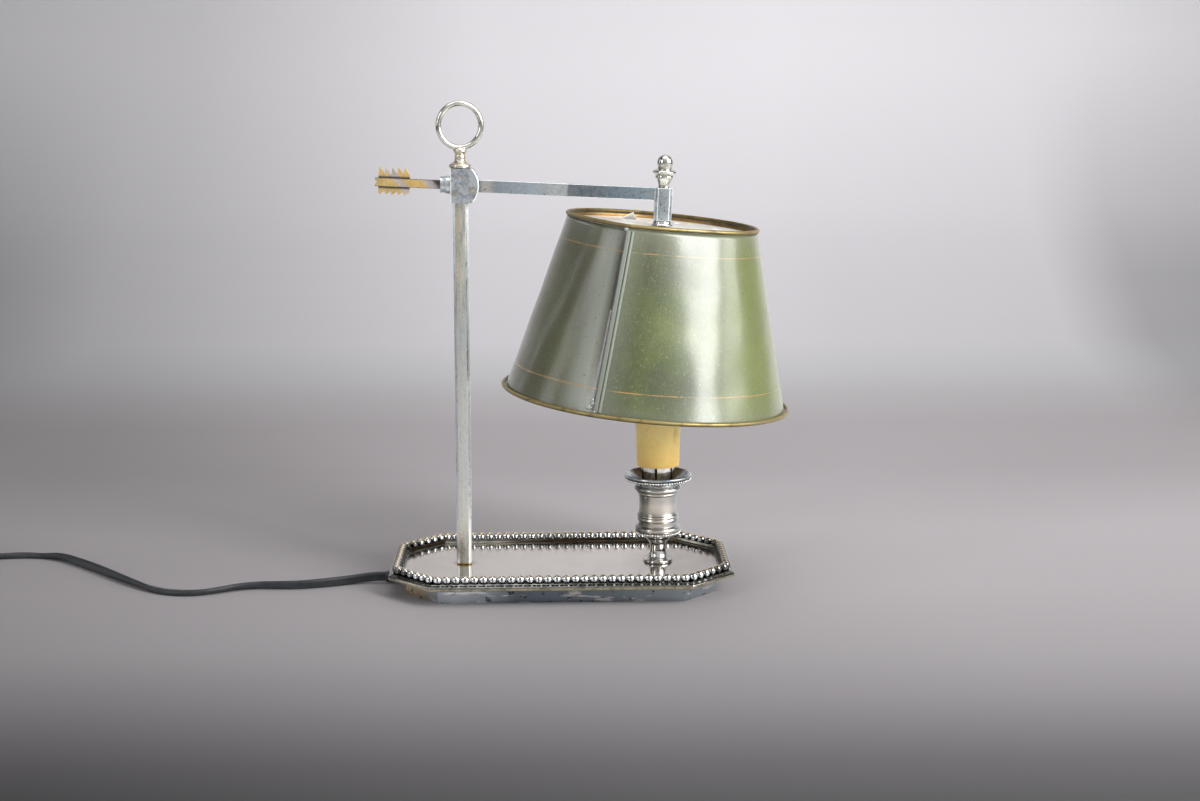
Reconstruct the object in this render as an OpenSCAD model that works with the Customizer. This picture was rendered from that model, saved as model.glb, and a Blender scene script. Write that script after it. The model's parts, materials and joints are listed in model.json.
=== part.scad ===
// Bouillotte desk lamp: an octagonal tray base with a beaded rim, a square post with a carrying ring,
// a sliding arm clamped by an arrow-shaped screw, a leaning painted shade, and a candle lampholder.
// Millimetres. The origin is the centre of the underside; +X runs from the post to the candle, +Z is up.

/* [Tray base] */
// Length of the base over its edge moulding
base_len = 241; // [195:1:300]
// Width of the base over its edge moulding
base_wid = 127; // [100:1:165]
// Length cut off along each side at the four corners
corner_cut = 30.6; // [22:0.1:40]
// Height of the tray's upper face
tray_z = 14.4; // [12.6:0.1:18]
// Thickness of the tray's sheet
tray_t = 1.6; // [1:0.1:2.5]
// How far the skirt stands in from the moulding
skirt_inset = 11.9; // [9.8:0.1:15]
// Wall of the skirt
skirt_t = 1.6; // [1:0.1:2.5]
// Diameter of one bead of the rim
bead_d = 6.2; // [4.5:0.1:7.5]
// Distance between beads, before it is rounded to fill each side
bead_pitch = 6.5; // [5:0.1:9]
// How far the bead row's centre line stands in from the moulding
bead_inset = 5.5; // [4:0.1:6.5]
// Thickness of the steel bottom plate
bottom_t = 1; // [0.6:0.1:2]
// Thickness of the felt
felt_t = 2; // [1.6:0.1:3]

/* [Post and ring] */
// Distance of the post's foot from the centre of the base
post_offset = 69; // [55:0.1:85]
// Width of the square post
post_w = 10.5; // [8:0.1:14]
// Chamfer along the post's edges
post_chamfer = 1.8; // [0.5:0.1:3]
// Height of the square part of the post
post_h = 279.6; // [230:0.1:340]
// Lean of the post towards the candle, in degrees
post_lean = 0.4; // [0:0.1:2]
// Diameter of the threaded studs at the post's ends
stud_d = 6; // [4:0.1:7]
// Outside diameter of the carrying ring
ring_d = 33.8; // [26:0.1:42]
// Diameter of the ring's wire
ring_wire = 3.9; // [3:0.1:5]
// Turn of the ring about the post, in degrees
ring_turn = 17; // [0:1:90]

/* [Sliding arm] */
// Height of the sliding block
block_h = 23.2; // [18:0.1:30]
// Depth of the sliding block, front to back
block_depth = 18; // [15.5:0.1:24]
// Gap between the post and each side of the block's square hole
slide_gap = 0.2; // [0.1:0.05:0.5]
// Height of the arm's bar
arm_h = 8.7; // [7:0.1:11]
// Thickness of the arm's bar
arm_t = 6; // [4:0.1:8]
// Distance from the post's axis to the axis of the arm's drop
arm_reach = 139.6; // [115:0.1:170]
// Droop of the arm and the arrow, in degrees from the block's own level
arm_droop = 2.4; // [0:0.1:4]
// Width of the square drop at the arm's end
drop_w = 12; // [9:0.1:14]
// Length of the drop below the arm's centre line
drop_len = 18; // [13:0.1:24]
// Diameter of the rod that holds the shade
rod_d = 5; // [4:0.1:6]
// Thickness of the spacer between the drop and the shade
spacer_t = 3.4; // [2:0.1:6]

/* [Arrow screw] */
// Diameter of the clamping screw's thread
screw_d = 5; // [4:0.1:6]
// Length of the boss that the screw runs in
boss_len = 7.1; // [5:0.1:9]
// Width of the square shank
shank_w = 5.8; // [5:0.1:7]
// Length of the bare shank between the boss and the vanes
shank_len = 20.6; // [15:0.1:28]
// Length of the vanes
vane_len = 21.4; // [16:0.1:26]
// Thickness of the vanes
vane_t = 2.2; // [1.5:0.1:3]
// Reach of the vanes from the arrow's axis
vane_reach = 10.6; // [8:0.1:12]
// Reach of the lower vane, which is cut shallower
low_vane_reach = 8.6; // [7:0.1:12]

/* [Shade] */
// Radius of the shade's sheet at the top
shade_top_r = 66.1; // [54:0.1:76]
// Radius of the shade's sheet at the bottom
shade_bottom_r = 98.1; // [82:0.1:115]
// Height of the shade along its axis
shade_h = 122.4; // [102:0.1:146]
// Thickness of the shade's sheet
shade_t = 0.7; // [0.5:0.1:1.2]
// Lean of the shade, in degrees, down at the side away from the post
shade_lean = 5.6; // [3:0.1:7]
// How far the sheet stands out to its seam at the top, as a share of the radius
corner_top = 0.12; // [0.02:0.01:0.15]
// The same at the bottom
corner_bottom = 0.01; // [0:0.005:0.08]
// Flattening of the sheet on either side of the seam, as a share of the radius
flank_top = 0.055; // [0:0.005:0.08]
// The same at the bottom
flank_bottom = 0.005; // [0:0.005:0.08]
// Angle of the seam from the front towards the post, in degrees
seam_angle = 21.5; // [0:0.5:45]
// Further angle of the seam at the bottom, as it runs a little across the cone
seam_skew = 1.8; // [0:0.1:4]
// Width of the folded seam
seam_w = 5.5; // [3:0.1:7]
// Diameter of the wired rims
rim_wire = 2.9; // [2:0.1:4]
// Depth of the top plate below the rim
plate_recess = 2.2; // [1.5:0.1:5]
// Thickness of the top plate
plate_t = 0.8; // [0.6:0.1:1.5]
// Number of vent holes in the top plate
vent_count = 8; // [4:1:12]
// Diameter of a vent hole
vent_d = 9; // [5:0.1:12]

/* [Candle] */
// Distance of the candle's axis from the centre of the base
candle_offset = 68.8; // [55:0.1:80]
// Outside diameter of the candle sleeve
sleeve_d = 31.75; // [31:0.05:34]
// Wall of the candle sleeve
sleeve_t = 1.2; // [0.8:0.1:1.3]
// Length of the candle sleeve
sleeve_len = 76; // [72:1:80]
// Diameter of the drip pan
pan_d = 47.2; // [42:0.1:58]
// Outside diameter of the split collar
collar_d = 23.4; // [20:0.1:24]
// Outside diameter of the threaded tube
nipple_d = 9.6; // [8:0.1:10]
// Bore of the threaded tube
nipple_bore = 7; // [6:0.1:7.5]
// Diameter of the bulb
bulb_d = 45; // [40:0.5:50]

/* [Cord] */
// Width of the flat twin cord
cord_w = 6.8; // [6:0.1:7.5]
// Mean diameter of the stored coil
coil_d = 75; // [70:1:82]
// Length of the switch housing
switch_len = 56; // [48:1:66]

/* [Hidden] */

$fn = 48;
eps = 0.01;
silver = "silver";
steel = "lightgray";
brass = "darkkhaki";

// ---- tray base ----
corner_gain = 1 - tan(22.5);
tray_under = tray_z - tray_t;
bead_z = tray_z + 4;
rebate_inset = bead_inset + 2;
nose_z = tray_z - 3;
inner_inset = skirt_inset + skirt_t;
cover_gap = 0.3;
lug_w = 8;
lug_x = base_len/2 - inner_inset - 19;
lug_y = base_wid/2 - inner_inset - 20;
cover_screw_d = 3;
cover_head_d = 6;
cover_head_h = 1.3;
washer_t = 0.8;
nut_t = 4;
bushing_d = 8.4;
bushing_z = 5;
bushing_out = 16.4;
bushing_in = 5.2;
skirt_x = base_len/2 - skirt_inset;

// ---- post and sliding block, in the post's own frame ----
block_gap = 0.3;
block_top = post_h - block_gap;
block_mid = block_top - block_h/2;
hole_w = post_w + 2*slide_gap;
block_left = post_w/2 + 1.3;
block_flat = post_w/2 + 3.2;
block_apex = block_flat + 4.5;
block_arc_r = ((block_h/2)^2 + 4.5^2)/(2*4.5);
mortise_x = hole_w/2 + 2.9;
boss_r = 6.2;
boss_tip_r = 5.6;
screw_gap = 0.06;
screw_tip = post_w/2 + 0.3;
shank_x = block_left + boss_len + 0.3;
vane_x = shank_x + shank_len;
arrow_tail = vane_x + vane_len + 2.3;
nock = 2.2;
teeth = 5;
collar_disc_r = 7.75;
collar_h = 14;
ring_mid = post_h + 12.9 + ring_d/2 - ring_wire*0.3;

// ---- arm end, in the arm's own frame ----
arm_gap = 0.3;
tilt_gap = 0.6;
washer_r = 8;
rod_gap = 0.1;
spacer_r = 7.4;
stack_top = -drop_len - arm_gap;
plate_mid = stack_top - spacer_t - tilt_gap;
lower_stack = plate_mid - plate_t - tilt_gap;
rod_end = lower_stack - washer_t - nut_t - 1.5;
rod_start = arm_h/2 + 9;

// ---- where the arm carries the shade's axis, in the lamp's frame ----
level = post_lean + arm_droop;
mid_x = -post_offset + block_mid*sin(post_lean);
mid_z = tray_z + block_mid*cos(post_lean);
shade_x = mid_x + arm_reach*cos(level) + plate_mid*sin(level);
shade_z = mid_z - arm_reach*sin(level) + plate_mid*cos(level);

// ---- shade ----
shade_steps = 96;
wire_steps = 8;
top_wire_r = shade_top_r - 0.3;
bottom_wire_r = shade_bottom_r + rim_wire/2 + 0.1;
plate_share = plate_recess/shade_h;

// ---- candle ----
pan_seat = tray_z + 56;
pan_floor = pan_seat + 2;
sleeve_z = pan_seat + 14.6;
sleeve_foot_r = sleeve_d/2 - 0.825;
sleeve_taper = 30;
collar_z = tray_z + 44;
stem_top = tray_z + 20.8;
fit_gap = 0.1;
shell_t = 0.35;
holder_wall = 0.875;
holder_r = sleeve_d/2 - sleeve_t - 0.3;
shell_r = holder_r - holder_wall - shell_t;
holder_top = sleeve_z + sleeve_len - 2;
holder_h = 43;
holder_z = holder_top - holder_h;
leg_z = sleeve_z + 6;
leg_w = 10;
leg_x = holder_r - 4.175;
leg_t = 1;
cap_fit = 0.25;
cap_r = shell_r - cap_fit;
cap_z = holder_z + 9;
cap_h = 24;
bulb_mouth_r = sleeve_d/2 - sleeve_t - 1.2;
bulb_z = sleeve_z + sleeve_len + sqrt((bulb_d/2)^2 - bulb_mouth_r^2);
lead_d = 3.2;
nipple_z = tray_under - washer_t - nut_t - 0.5;
notch_len = bushing_in + 3;
notch_w = 12;

// ---- cord, switch and plug ----
cord_z = cord_w/2;
cord_from = [-skirt_x - bushing_out, 0, bushing_z];
// The points as laid, from the bushing on; those that a longer base would cover are left out
cord_route = concat([cord_from], [for (p = [[-132, 0, 4.9], [-140, -0.6, 4.3], [-149, -2.6, 3.6],
    [-158, -5.6, 3.4], [-171, -10, 3.4], [-185, -13, 3.4], [-199, -13, 3.4], [-213, -12, 3.4], [-227, -14, 3.4],
    [-240, -20, 3.4], [-253, -25, 3.4], [-267, -25, 3.4], [-282, -19, 3.4], [-299, -5, 3.4],
    [-317, 12, 3.4], [-336, 32, 3.4], [-356, 52, 3.4], [-374, 68, 3.4], [-390, 76, 3.4],
    [-406, 78, 3.4], [-421, 76, 3.4], [-431, 73, 3.6], [-438, 71, 4.5]]) if (p[0] < cord_from[0] - 5) p]);
switch_turn = 15;
switch_in = [-438, 71];
switch_mid = switch_in - switch_len/2*[cos(switch_turn), sin(switch_turn)];
switch_out = switch_in - switch_len*[cos(switch_turn), sin(switch_turn)];
switch_w = 26;
switch_h = 9;
switch_cover_h = 7;
rocker_len = 19;
rocker_w = 10;
coil_r = coil_d/2;
coil_rows = 2;
coil_layers = 3;
coil_half = coil_rows*cord_w/2;
coil_mid = [-517, 11];
coil_edge = 2;
link_route = [[switch_out[0], switch_out[1], 4.5], [-498, 54.9, 4.4], [-504.4, 53.2, 4.2]];
tail_y = coil_mid[1] - coil_r - cord_w/2;
tail_route = [[coil_mid[0] + 16, tail_y, 4.2], [coil_mid[0] + 20, tail_y, 4.9],
    [coil_mid[0] + 26, tail_y, 5.9], [coil_mid[0] + 32, tail_y, 6.6]];
plug_at = tail_route[3];
plug_len = 26;
plug_w = 20;
plug_h = 13;

// ---- helpers ----

// Corners of the base's outline, moved in by an inset
function outline(inset) =
    let (hl = base_len/2 - inset, hw = base_wid/2 - inset, c = corner_cut - inset*corner_gain)
    [[hl, -hw + c], [hl, hw - c], [hl - c, hw], [-hl + c, hw],
     [-hl, hw - c], [-hl, -hw + c], [-hl + c, -hw], [hl - c, -hw]];

module base_prism(inset, z, h) {
    translate([0, 0, z])
        linear_extrude(h)
            polygon(outline(inset));
}

// A section of [inset, height] points, counter-clockwise, carried round the base with mitred corners
module base_section(section) {
    n = len(section);
    points = [for (k = [0:7]) for (p = section) concat(outline(p[0])[k], p[1])];
    faces = [for (k = [0:7]) for (i = [0:n - 1])
        [k*n + i, k*n + (i + 1) % n, ((k + 1) % 8)*n + (i + 1) % n, ((k + 1) % 8)*n + i]];
    polyhedron(points, faces, convexity = 6);
}

function unit(v) = v/norm(v);

// A tube of a few flat sides along a list of points
module tube_along(route, d, sides) {
    last = len(route) - 1;
    points = [for (i = [0:last])
        let (dir = unit(route[min(i + 1, last)] - route[max(i - 1, 0)]),
             ref = abs(dir[2]) > 0.9 ? [1, 0, 0] : [0, 0, 1],
             a = unit(cross(ref, dir)), b = cross(dir, a))
        for (j = [0:sides - 1]) route[i] + d/2*(cos(360*(j + 0.5)/sides)*a + sin(360*(j + 0.5)/sides)*b)];
    walls = [for (i = [0:last - 1]) for (j = [0:sides - 1])
        [i*sides + j, (i + 1)*sides + j, (i + 1)*sides + (j + 1) % sides, i*sides + (j + 1) % sides]];
    ends = [[for (j = [0:sides - 1]) j], [for (j = [sides - 1:-1:0]) last*sides + j]];
    polyhedron(points, concat(walls, ends), convexity = 8);
}

module at_candle() {
    translate([candle_offset, 0, 0])
        children();
}

module at_post() {
    translate([-post_offset, 0, tray_z])
        rotate([0, post_lean, 0])
            children();
}

// The arm's frame: its origin is on the post's axis and +X runs along the arm
module at_arm() {
    at_post()
        translate([0, 0, block_mid])
            rotate([0, arm_droop, 0])
                children();
}

module at_drop() {
    at_arm()
        translate([arm_reach, 0, 0])
            children();
}

// The shade's frame: its origin is where its axis meets the middle of the top plate's upper face
module at_shade() {
    translate([shade_x, 0, shade_z])
        rotate([0, shade_lean, 0])
            children();
}

module hex_nut(across, h, bore) {
    difference() {
        cylinder(d = across/cos(30), h = h, $fn = 6);
        translate([0, 0, -1])
            cylinder(d = bore, h = h + 2);
    }
}

module washer(r, h, bore) {
    difference() {
        cylinder(r = r, h = h);
        translate([0, 0, -1])
            cylinder(d = bore, h = h + 2);
    }
}

// A square bar along Z with chamfered edges
module chamfered_bar(w, chamfer, h) {
    linear_extrude(h)
        intersection() {
            square(w, center = true);
            rotate(45)
                square(sqrt(2)*(w - chamfer), center = true);
        }
}

// ---- tray base ----

module tray_plate() {
    color(silver)
        difference() {
            base_prism(rebate_inset, tray_under, tray_t);
            translate([-post_offset, 0, 0])
                cylinder(d = stud_d + 2*fit_gap, h = tray_z + 1);
            at_candle()
                cylinder(d = nipple_d + 2*fit_gap, h = tray_z + 1);
        }
}

module edge_moulding() {
    color(silver)
        base_section([[rebate_inset, nose_z], [rebate_inset, tray_z], [rebate_inset + 2.7, tray_z],
            [rebate_inset + 1.6, tray_z + 0.9], [rebate_inset + 1, tray_z + 2], [bead_inset + 2.6, tray_z + 2.7],
            [bead_inset, bead_z - bead_d/2 + 0.2], [bead_inset - 2.6, tray_z + 2.4], [bead_inset - 2.9, tray_z + 1.6],
            [1.9, tray_z + 1.1], [1.7, tray_z + 0.6], [0.7, tray_z + 0.3], [0.2, tray_z - 0.3],
            [0, tray_z - 1], [0, tray_z - 1.8], [0.4, tray_z - 2.6], [1.4, nose_z]]);
}

module bead_row() {
    corners = outline(bead_inset);
    color(silver)
        for (k = [0:7]) {
            from = corners[k];
            to = corners[(k + 1) % 8];
            count = round(norm(to - from)/bead_pitch);
            for (i = [0:count - 1])
                translate(concat(from + (to - from)*i/count, bead_z))
                    sphere(d = bead_d, $fn = 24);
        }
}

module base_skirt() {
    color(silver)
        difference() {
            base_prism(skirt_inset, 0, tray_under);
            base_prism(inner_inset, -1, tray_under + 2);
            translate([-skirt_x - 1, 0, bushing_z])
                rotate([0, 90, 0])
                    cylinder(d = bushing_d, h = skirt_t + 2);
        }
}

module at_lugs() {
    for (x = [-1, 1])
        for (y = [-1, 1])
            translate([x*lug_x, y*lug_y, 0])
                children();
}

module bottom_lugs() {
    color(brass)
        at_lugs()
            difference() {
                translate([-lug_w/2, -lug_w/2, felt_t + bottom_t])
                    cube([lug_w, lug_w, tray_under - felt_t - bottom_t]);
                cylinder(d = cover_screw_d + 2*fit_gap, h = tray_under - 1.5);
            }
}

// Room for the bushing in the edge of the bottom plate and the felt
module cord_notch() {
    translate([-skirt_x - 1, -notch_w/2, -1])
        cube([notch_len + 1, notch_w, tray_under]);
}

module bottom_plate() {
    color(steel)
        difference() {
            base_prism(inner_inset + cover_gap, felt_t, bottom_t);
            at_lugs()
                cylinder(d = cover_screw_d + 2*fit_gap, h = felt_t + bottom_t + 1);
            cord_notch();
        }
}

module felt_pad() {
    color("darkgreen")
        difference() {
            base_prism(inner_inset + cover_gap, 0, felt_t);
            at_lugs()
                translate([0, 0, -1])
                    cylinder(d = cover_head_d + 1, h = felt_t + 2);
            cord_notch();
        }
}

module bottom_screws() {
    color(steel)
        at_lugs() {
            translate([0, 0, felt_t - cover_head_h])
                cylinder(d = cover_head_d, h = cover_head_h);
            translate([0, 0, felt_t - eps])
                cylinder(d = cover_screw_d, h = tray_under - felt_t - 3);
        }
}

// Rubber strain relief: a flange inside the skirt, a neck in its hole and a taper outside
module cord_bushing() {
    color("black")
        translate([-skirt_x, 0, bushing_z])
            rotate([0, -90, 0])
                rotate_extrude()
                    polygon([[0, -bushing_in], [3.6, -bushing_in], [4.4, -skirt_t - 1.8], [5, -skirt_t - 1.8],
                        [5, -skirt_t], [bushing_d/2, -skirt_t],
                        [bushing_d/2, 0], [4.6, 0], [4.6, 1.2], [cord_w/2 + 0.5, bushing_out], [0, bushing_out]]);
}

// ---- post and ring ----

module post() {
    color(silver)
        at_post() {
            chamfered_bar(post_w, post_chamfer, post_h);
            translate([0, 0, -8.2])
                cylinder(d = stud_d, h = 8.2 + eps);
            translate([0, 0, post_h - eps])
                cylinder(d = stud_d - 1, h = 7);
        }
}

module post_washer() {
    color(steel)
        translate([-post_offset, 0, tray_under - washer_t])
            washer(washer_r, washer_t, stud_d + 4*fit_gap);
}

module post_nut() {
    color(brass)
        translate([-post_offset, 0, tray_under - washer_t - nut_t])
            hex_nut(10, nut_t, stud_d + 4*fit_gap);
}

module ring_collar() {
    color(silver)
        at_post()
            translate([0, 0, post_h])
                rotate_extrude()
                    polygon([[2.6, 0], [collar_disc_r - 0.5, 0], [collar_disc_r, 0.9], [collar_disc_r - 0.1, 2],
                        [collar_disc_r - 0.9, 2.7], [5.4, 3.4], [4, 4.6], [3.6, 5.6], [3.8, 6.6], [3.8, 7.8],
                        [3.4, 8.5], [3.3, 9.2], [4, 10], [4.6, 11.2], [4.5, 12.2], [3.8, 13.2], [2.9, collar_h],
                        [0, collar_h], [0, 7.2], [2.6, 7.2]]);
}

module ring_handle() {
    color(silver)
        at_post()
            translate([0, 0, ring_mid])
                rotate([90, 0, ring_turn])
                    difference() {
                        rotate_extrude($fn = 72)
                            translate([(ring_d - ring_wire)/2, 0])
                                circle(d = ring_wire);
                        translate([0, collar_h - ring_mid + post_h, 0])
                            rotate([90, 0, 0])
                                cylinder(r = 6, h = 10);
                    }
}

// ---- sliding block, arrow and arm ----

module slider_block() {
    color(silver)
        difference() {
            union() {
                at_post()
                    translate([0, 0, block_mid])
                        intersection() {
                            translate([-block_left, -block_depth/2, -block_h/2])
                                cube([block_left + block_apex, block_depth, block_h]);
                            translate([block_apex - block_arc_r, 0, 0])
                                rotate([90, 0, 0])
                                    cylinder(r = block_arc_r, h = block_depth + 2, center = true, $fn = 96);
                        }
                at_arm()
                    rotate([0, -90, 0])
                        translate([0, 0, post_w/2 + 1])
                            cylinder(r1 = boss_r + 0.1, r2 = boss_tip_r, h = block_left + boss_len - post_w/2 - 1);
            }
            at_post()
                translate([-hole_w/2, -hole_w/2, block_mid - block_h])
                    cube([hole_w, hole_w, 2*block_h]);
            at_arm()
                rotate([0, -90, 0])
                    cylinder(d = screw_d + 2*screw_gap, h = 40);
            at_arm()
                translate([mortise_x, -arm_t/2, -arm_h/2])
                    cube([20, arm_t, arm_h]);
        }
}

module arrow_shaft() {
    color(brass)
        at_arm()
            rotate([0, -90, 0])
                difference() {
                    union() {
                        translate([0, 0, screw_tip])
                            cylinder(d = screw_d, h = shank_x - screw_tip + eps);
                        translate([-shank_w/2, -shank_w/2, shank_x])
                            cube([shank_w, shank_w, arrow_tail - shank_x]);
                    }
                    translate([0, shank_w, arrow_tail])
                        rotate([90, 45, 0])
                            cube([nock, nock, 3*shank_w], center = true);
                }
}

// One serrated vane in the XY plane: x runs along the arrow's tail, y outwards
module vane(reach, tooth) {
    step = vane_len/teeth;
    linear_extrude(vane_t, center = true)
        polygon(concat([[0, shank_w/2]],
            [for (i = [0:teeth - 1]) each [
                [i*step + 0.1, reach - tooth],
                [i*step + step*0.85, reach],
                [i*step + step, reach - tooth]]],
            [[vane_len, shank_w/2]]));
}

module arrow_vanes() {
    color(brass)
        at_arm()
            mirror([1, 0, 0])
                translate([vane_x, 0, 0]) {
                    rotate([90, 0, 0])
                        vane(vane_reach, 5);
                    rotate([-90, 0, 0])
                        vane(low_vane_reach, 2.3);
                }
}

module arm() {
    color("lightsteelblue")
        at_arm()
            difference() {
                union() {
                    translate([mortise_x, -arm_t/2, -arm_h/2])
                        cube([arm_reach - mortise_x, arm_t, arm_h]);
                    translate([arm_reach, 0, -drop_len])
                        chamfered_bar(drop_w, 2, drop_len + arm_h/2);
                }
                translate([arm_reach, 0, -drop_len - 1])
                    cylinder(d = rod_d + 2*rod_gap, h = drop_len + arm_h + 2);
            }
}

module arm_finial() {
    color(silver)
        at_drop()
            translate([0, 0, arm_h/2])
                rotate_extrude()
                    difference() {
                        union() {
                            polygon([[0, 0], [3.6, 0], [3.9, 2], [4.6, 4.4], [5.6, 6.2], [6.3, 6.8], [6.3, 7.8],
                                [5.8, 8.3], [6.8, 9.1], [8.4, 10.2], [8.5, 10.9], [7.6, 11.9], [5.6, 12.6],
                                [4.8, 13], [5.2, 13.5], [0, 13.5]]);
                            intersection() {
                                translate([0, 17.2])
                                    circle(d = 11);
                                translate([0, 12.5])
                                    square([8, 12]);
                            }
                        }
                        translate([-1, -1])
                            square([rod_d/2 + rod_gap + 1, 10.2]);
                    }
}

module shade_rod() {
    color(steel)
        at_drop()
            translate([0, 0, rod_end])
                cylinder(d = rod_d, h = rod_start - rod_end);
}

// A flared spacer between the drop and the shade's top plate
module shade_spacer() {
    color(silver)
        at_drop()
            translate([0, 0, stack_top])
                rotate_extrude()
                    polygon([[rod_d/2 + rod_gap, 0], [spacer_r - 1.4, 0], [spacer_r - 1, -spacer_t + 1.6],
                        [spacer_r, -spacer_t + 0.8], [spacer_r, -spacer_t], [rod_d/2 + rod_gap, -spacer_t]]);
}

module lower_washer() {
    color(steel)
        at_drop()
            translate([0, 0, lower_stack - washer_t])
                washer(washer_r, washer_t, rod_d + 2*rod_gap);
}

module shade_nut() {
    color(brass)
        at_drop()
            translate([0, 0, lower_stack - washer_t - nut_t])
                hex_nut(9, nut_t, rod_d + 2*rod_gap);
}

// ---- shade, in its own frame: z = plate_recess is the plane of the upper rim ----

// Radius factor at an angle from the seam: a crease at the seam, with flattened sheet on either side
function crease(angle, corner, flank) =
    let (a = angle > 180 ? 360 - angle : angle)
    1 + corner*exp(-a/15) - flank*exp(-((a - 40)/20)^2);

// Outline of the sheet at a share of its height, from 0 at the top to 1 at the bottom, grown by a distance
function sheet_outline(share, grow) =
    [for (i = [0:shade_steps - 1])
        let (a = 360*i/shade_steps,
             r = (1 - share)*shade_top_r*crease(a, corner_top, flank_top)
               + share*shade_bottom_r*crease(a, corner_bottom, flank_bottom) + grow)
        r*[cos(a - 90 - seam_angle - share*seam_skew), sin(a - 90 - seam_angle - share*seam_skew)]];

function lift(points, z) = [for (p = points) concat(p, z)];

// A face of four corners as two triangles, because the sheet's are a little twisted
function split(f) = [[f[0], f[1], f[2]], [f[0], f[2], f[3]]];

function share_z(share) = plate_recess - share*shade_h;

module shade_shell() {
    n = shade_steps;
    loops = [lift(sheet_outline(0, 0), share_z(0)), lift(sheet_outline(1, 0), share_z(1)),
        lift(sheet_outline(1, -shade_t), share_z(1)), lift(sheet_outline(0, -shade_t), share_z(0))];
    points = [for (loop = loops) each loop];
    faces = [for (k = [0:3]) for (i = [0:n - 1]) each
        split([k*n + i, k*n + (i + 1) % n, ((k + 1) % 4)*n + (i + 1) % n, ((k + 1) % 4)*n + i])];
    color("darkolivegreen")
        at_shade()
            polyhedron(points, faces, convexity = 6);
}

// The folded seam: a strip on the outside of the sheet, beside the crease
module shade_seam() {
    function edge(share, along, out) =
        let (p = sheet_outline(share, out)[0], q = sheet_outline(share, out)[2])
        concat(p + along*unit(q - p), share_z(share));
    top = 1.5/shade_h;
    bottom = 1 - (rim_wire + 0.4)/shade_h;
    points = [for (share = [top, bottom]) each
        [edge(share, 0, 0), edge(share, seam_w, 0), edge(share, seam_w, 0.8), edge(share, 0, 0.8)]];
    color("darkolivegreen")
        at_shade()
            polyhedron(points, [for (f = [[0, 1, 2, 3], [7, 6, 5, 4], [0, 4, 5, 1], [1, 5, 6, 2],
                [2, 6, 7, 3], [3, 7, 4, 0]]) each split(f)]);
}

// A wire that follows the sheet's outline
module rim(share, grow, z) {
    path = lift(sheet_outline(share, grow), z);
    n = shade_steps;
    points = [for (i = [0:n - 1])
        let (dir = unit(path[(i + 1) % n] - path[(i + n - 1) % n]), out = cross(dir, [0, 0, 1]))
        for (j = [0:wire_steps - 1])
            path[i] + rim_wire/2*(cos(360*j/wire_steps)*out + sin(360*j/wire_steps)*[0, 0, 1])];
    faces = [for (i = [0:n - 1]) for (j = [0:wire_steps - 1])
        [i*wire_steps + j, i*wire_steps + (j + 1) % wire_steps,
         ((i + 1) % n)*wire_steps + (j + 1) % wire_steps, ((i + 1) % n)*wire_steps + j]];
    polyhedron(points, faces, convexity = 6);
}

module top_rim_wire() {
    color("goldenrod")
        at_shade()
            rim(0, top_wire_r - shade_top_r, share_z(0) + rim_wire/2);
}

module bottom_rim_wire() {
    color("goldenrod")
        at_shade()
            rim(1, bottom_wire_r - shade_bottom_r, share_z(1) + rim_wire/2);
}

// The disc that closes the shade's top, with a ring of vents; the first vent is a tongue bent up
module shade_plate() {
    tongue_turn = 115;
    tongue_r = 50;
    tongue_half = 7.5;
    tongue_len = 9;
    color(silver)
        at_shade()
            translate([0, 0, -plate_t]) {
                linear_extrude(plate_t)
                    difference() {
                        polygon(sheet_outline(plate_share, -shade_t - 0.05));
                        circle(d = rod_d + 0.8);
                        for (i = [1:vent_count - 1])
                            rotate(360*i/vent_count + tongue_turn)
                                translate([shade_top_r - 21, 0])
                                    circle(d = vent_d);
                        rotate(tongue_turn)
                            polygon([[tongue_r, -tongue_half], [tongue_r, tongue_half], [tongue_r - tongue_len, 0]]);
                    }
                rotate(tongue_turn)
                    translate([tongue_r, 0, 0])
                        rotate([0, -140, 0])
                            mirror([0, 0, 1])
                                linear_extrude(plate_t)
                                    polygon([[0, -tongue_half + 0.5], [tongue_len - 0.5, 0], [0, tongue_half - 0.5]]);
            }
}

// ---- candle ----

module turned(profile) {
    at_candle()
        rotate_extrude(convexity = 6)
            polygon(profile);
}

module candle_stem() {
    z = tray_z;
    bore = nipple_d/2 + fit_gap;
    color(silver)
        turned([[bore, z], [9.9, z], [10.1, z + 0.8], [10, z + 1.8], [8.6, z + 2.7], [6.9, z + 3.9],
            [5.9, z + 5.6], [5.35, z + 8], [5.3, z + 10.4], [5.8, z + 13], [7, z + 15.2], [8.9, z + 17],
            [9.4, z + 18], [10.4, z + 19.4], [12.4, z + 20.4], [12.8, stem_top], [bore, stem_top]]);
}

module nozzle_cup() {
    z = tray_z;
    bore = nipple_d/2 + fit_gap;
    well = collar_d/2 + fit_gap;
    color(silver)
        turned([[bore, stem_top], [13.6, stem_top], [14.7, z + 21.2], [15, z + 21.9], [14.8, z + 22.6],
            [15.5, z + 23], [16, z + 24], [16.1, z + 25], [15.7, z + 26.2], [14.6, z + 26.9],
            [13.7, z + 27.4], [13.6, z + 30.4], [14.3, z + 30.9], [14.7, z + 31.7], [14.4, z + 32.7],
            [14.2, z + 33], [14.4, z + 33.4], [14.7, z + 34.4], [14.3, z + 35.2], [13.7, z + 35.7],
            [13.3, z + 37.5], [13.2, z + 42], [13.3, z + 46], [13.7, z + 49.6], [14.4, z + 50],
            [14.7, z + 50.7], [14.4, z + 51.4], [14.6, z + 51.8], [16, z + 52.4], [16.6, z + 53.4],
            [16.7, z + 54.2], [16.2, z + 55.2], [15.3, z + 55.6],
            [15.2, pan_seat], [well, pan_seat], [well, collar_z], [well - 1.6, collar_z],
            [well - 1.6, z + 23.8], [bore, z + 23.8]]);
}

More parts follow.
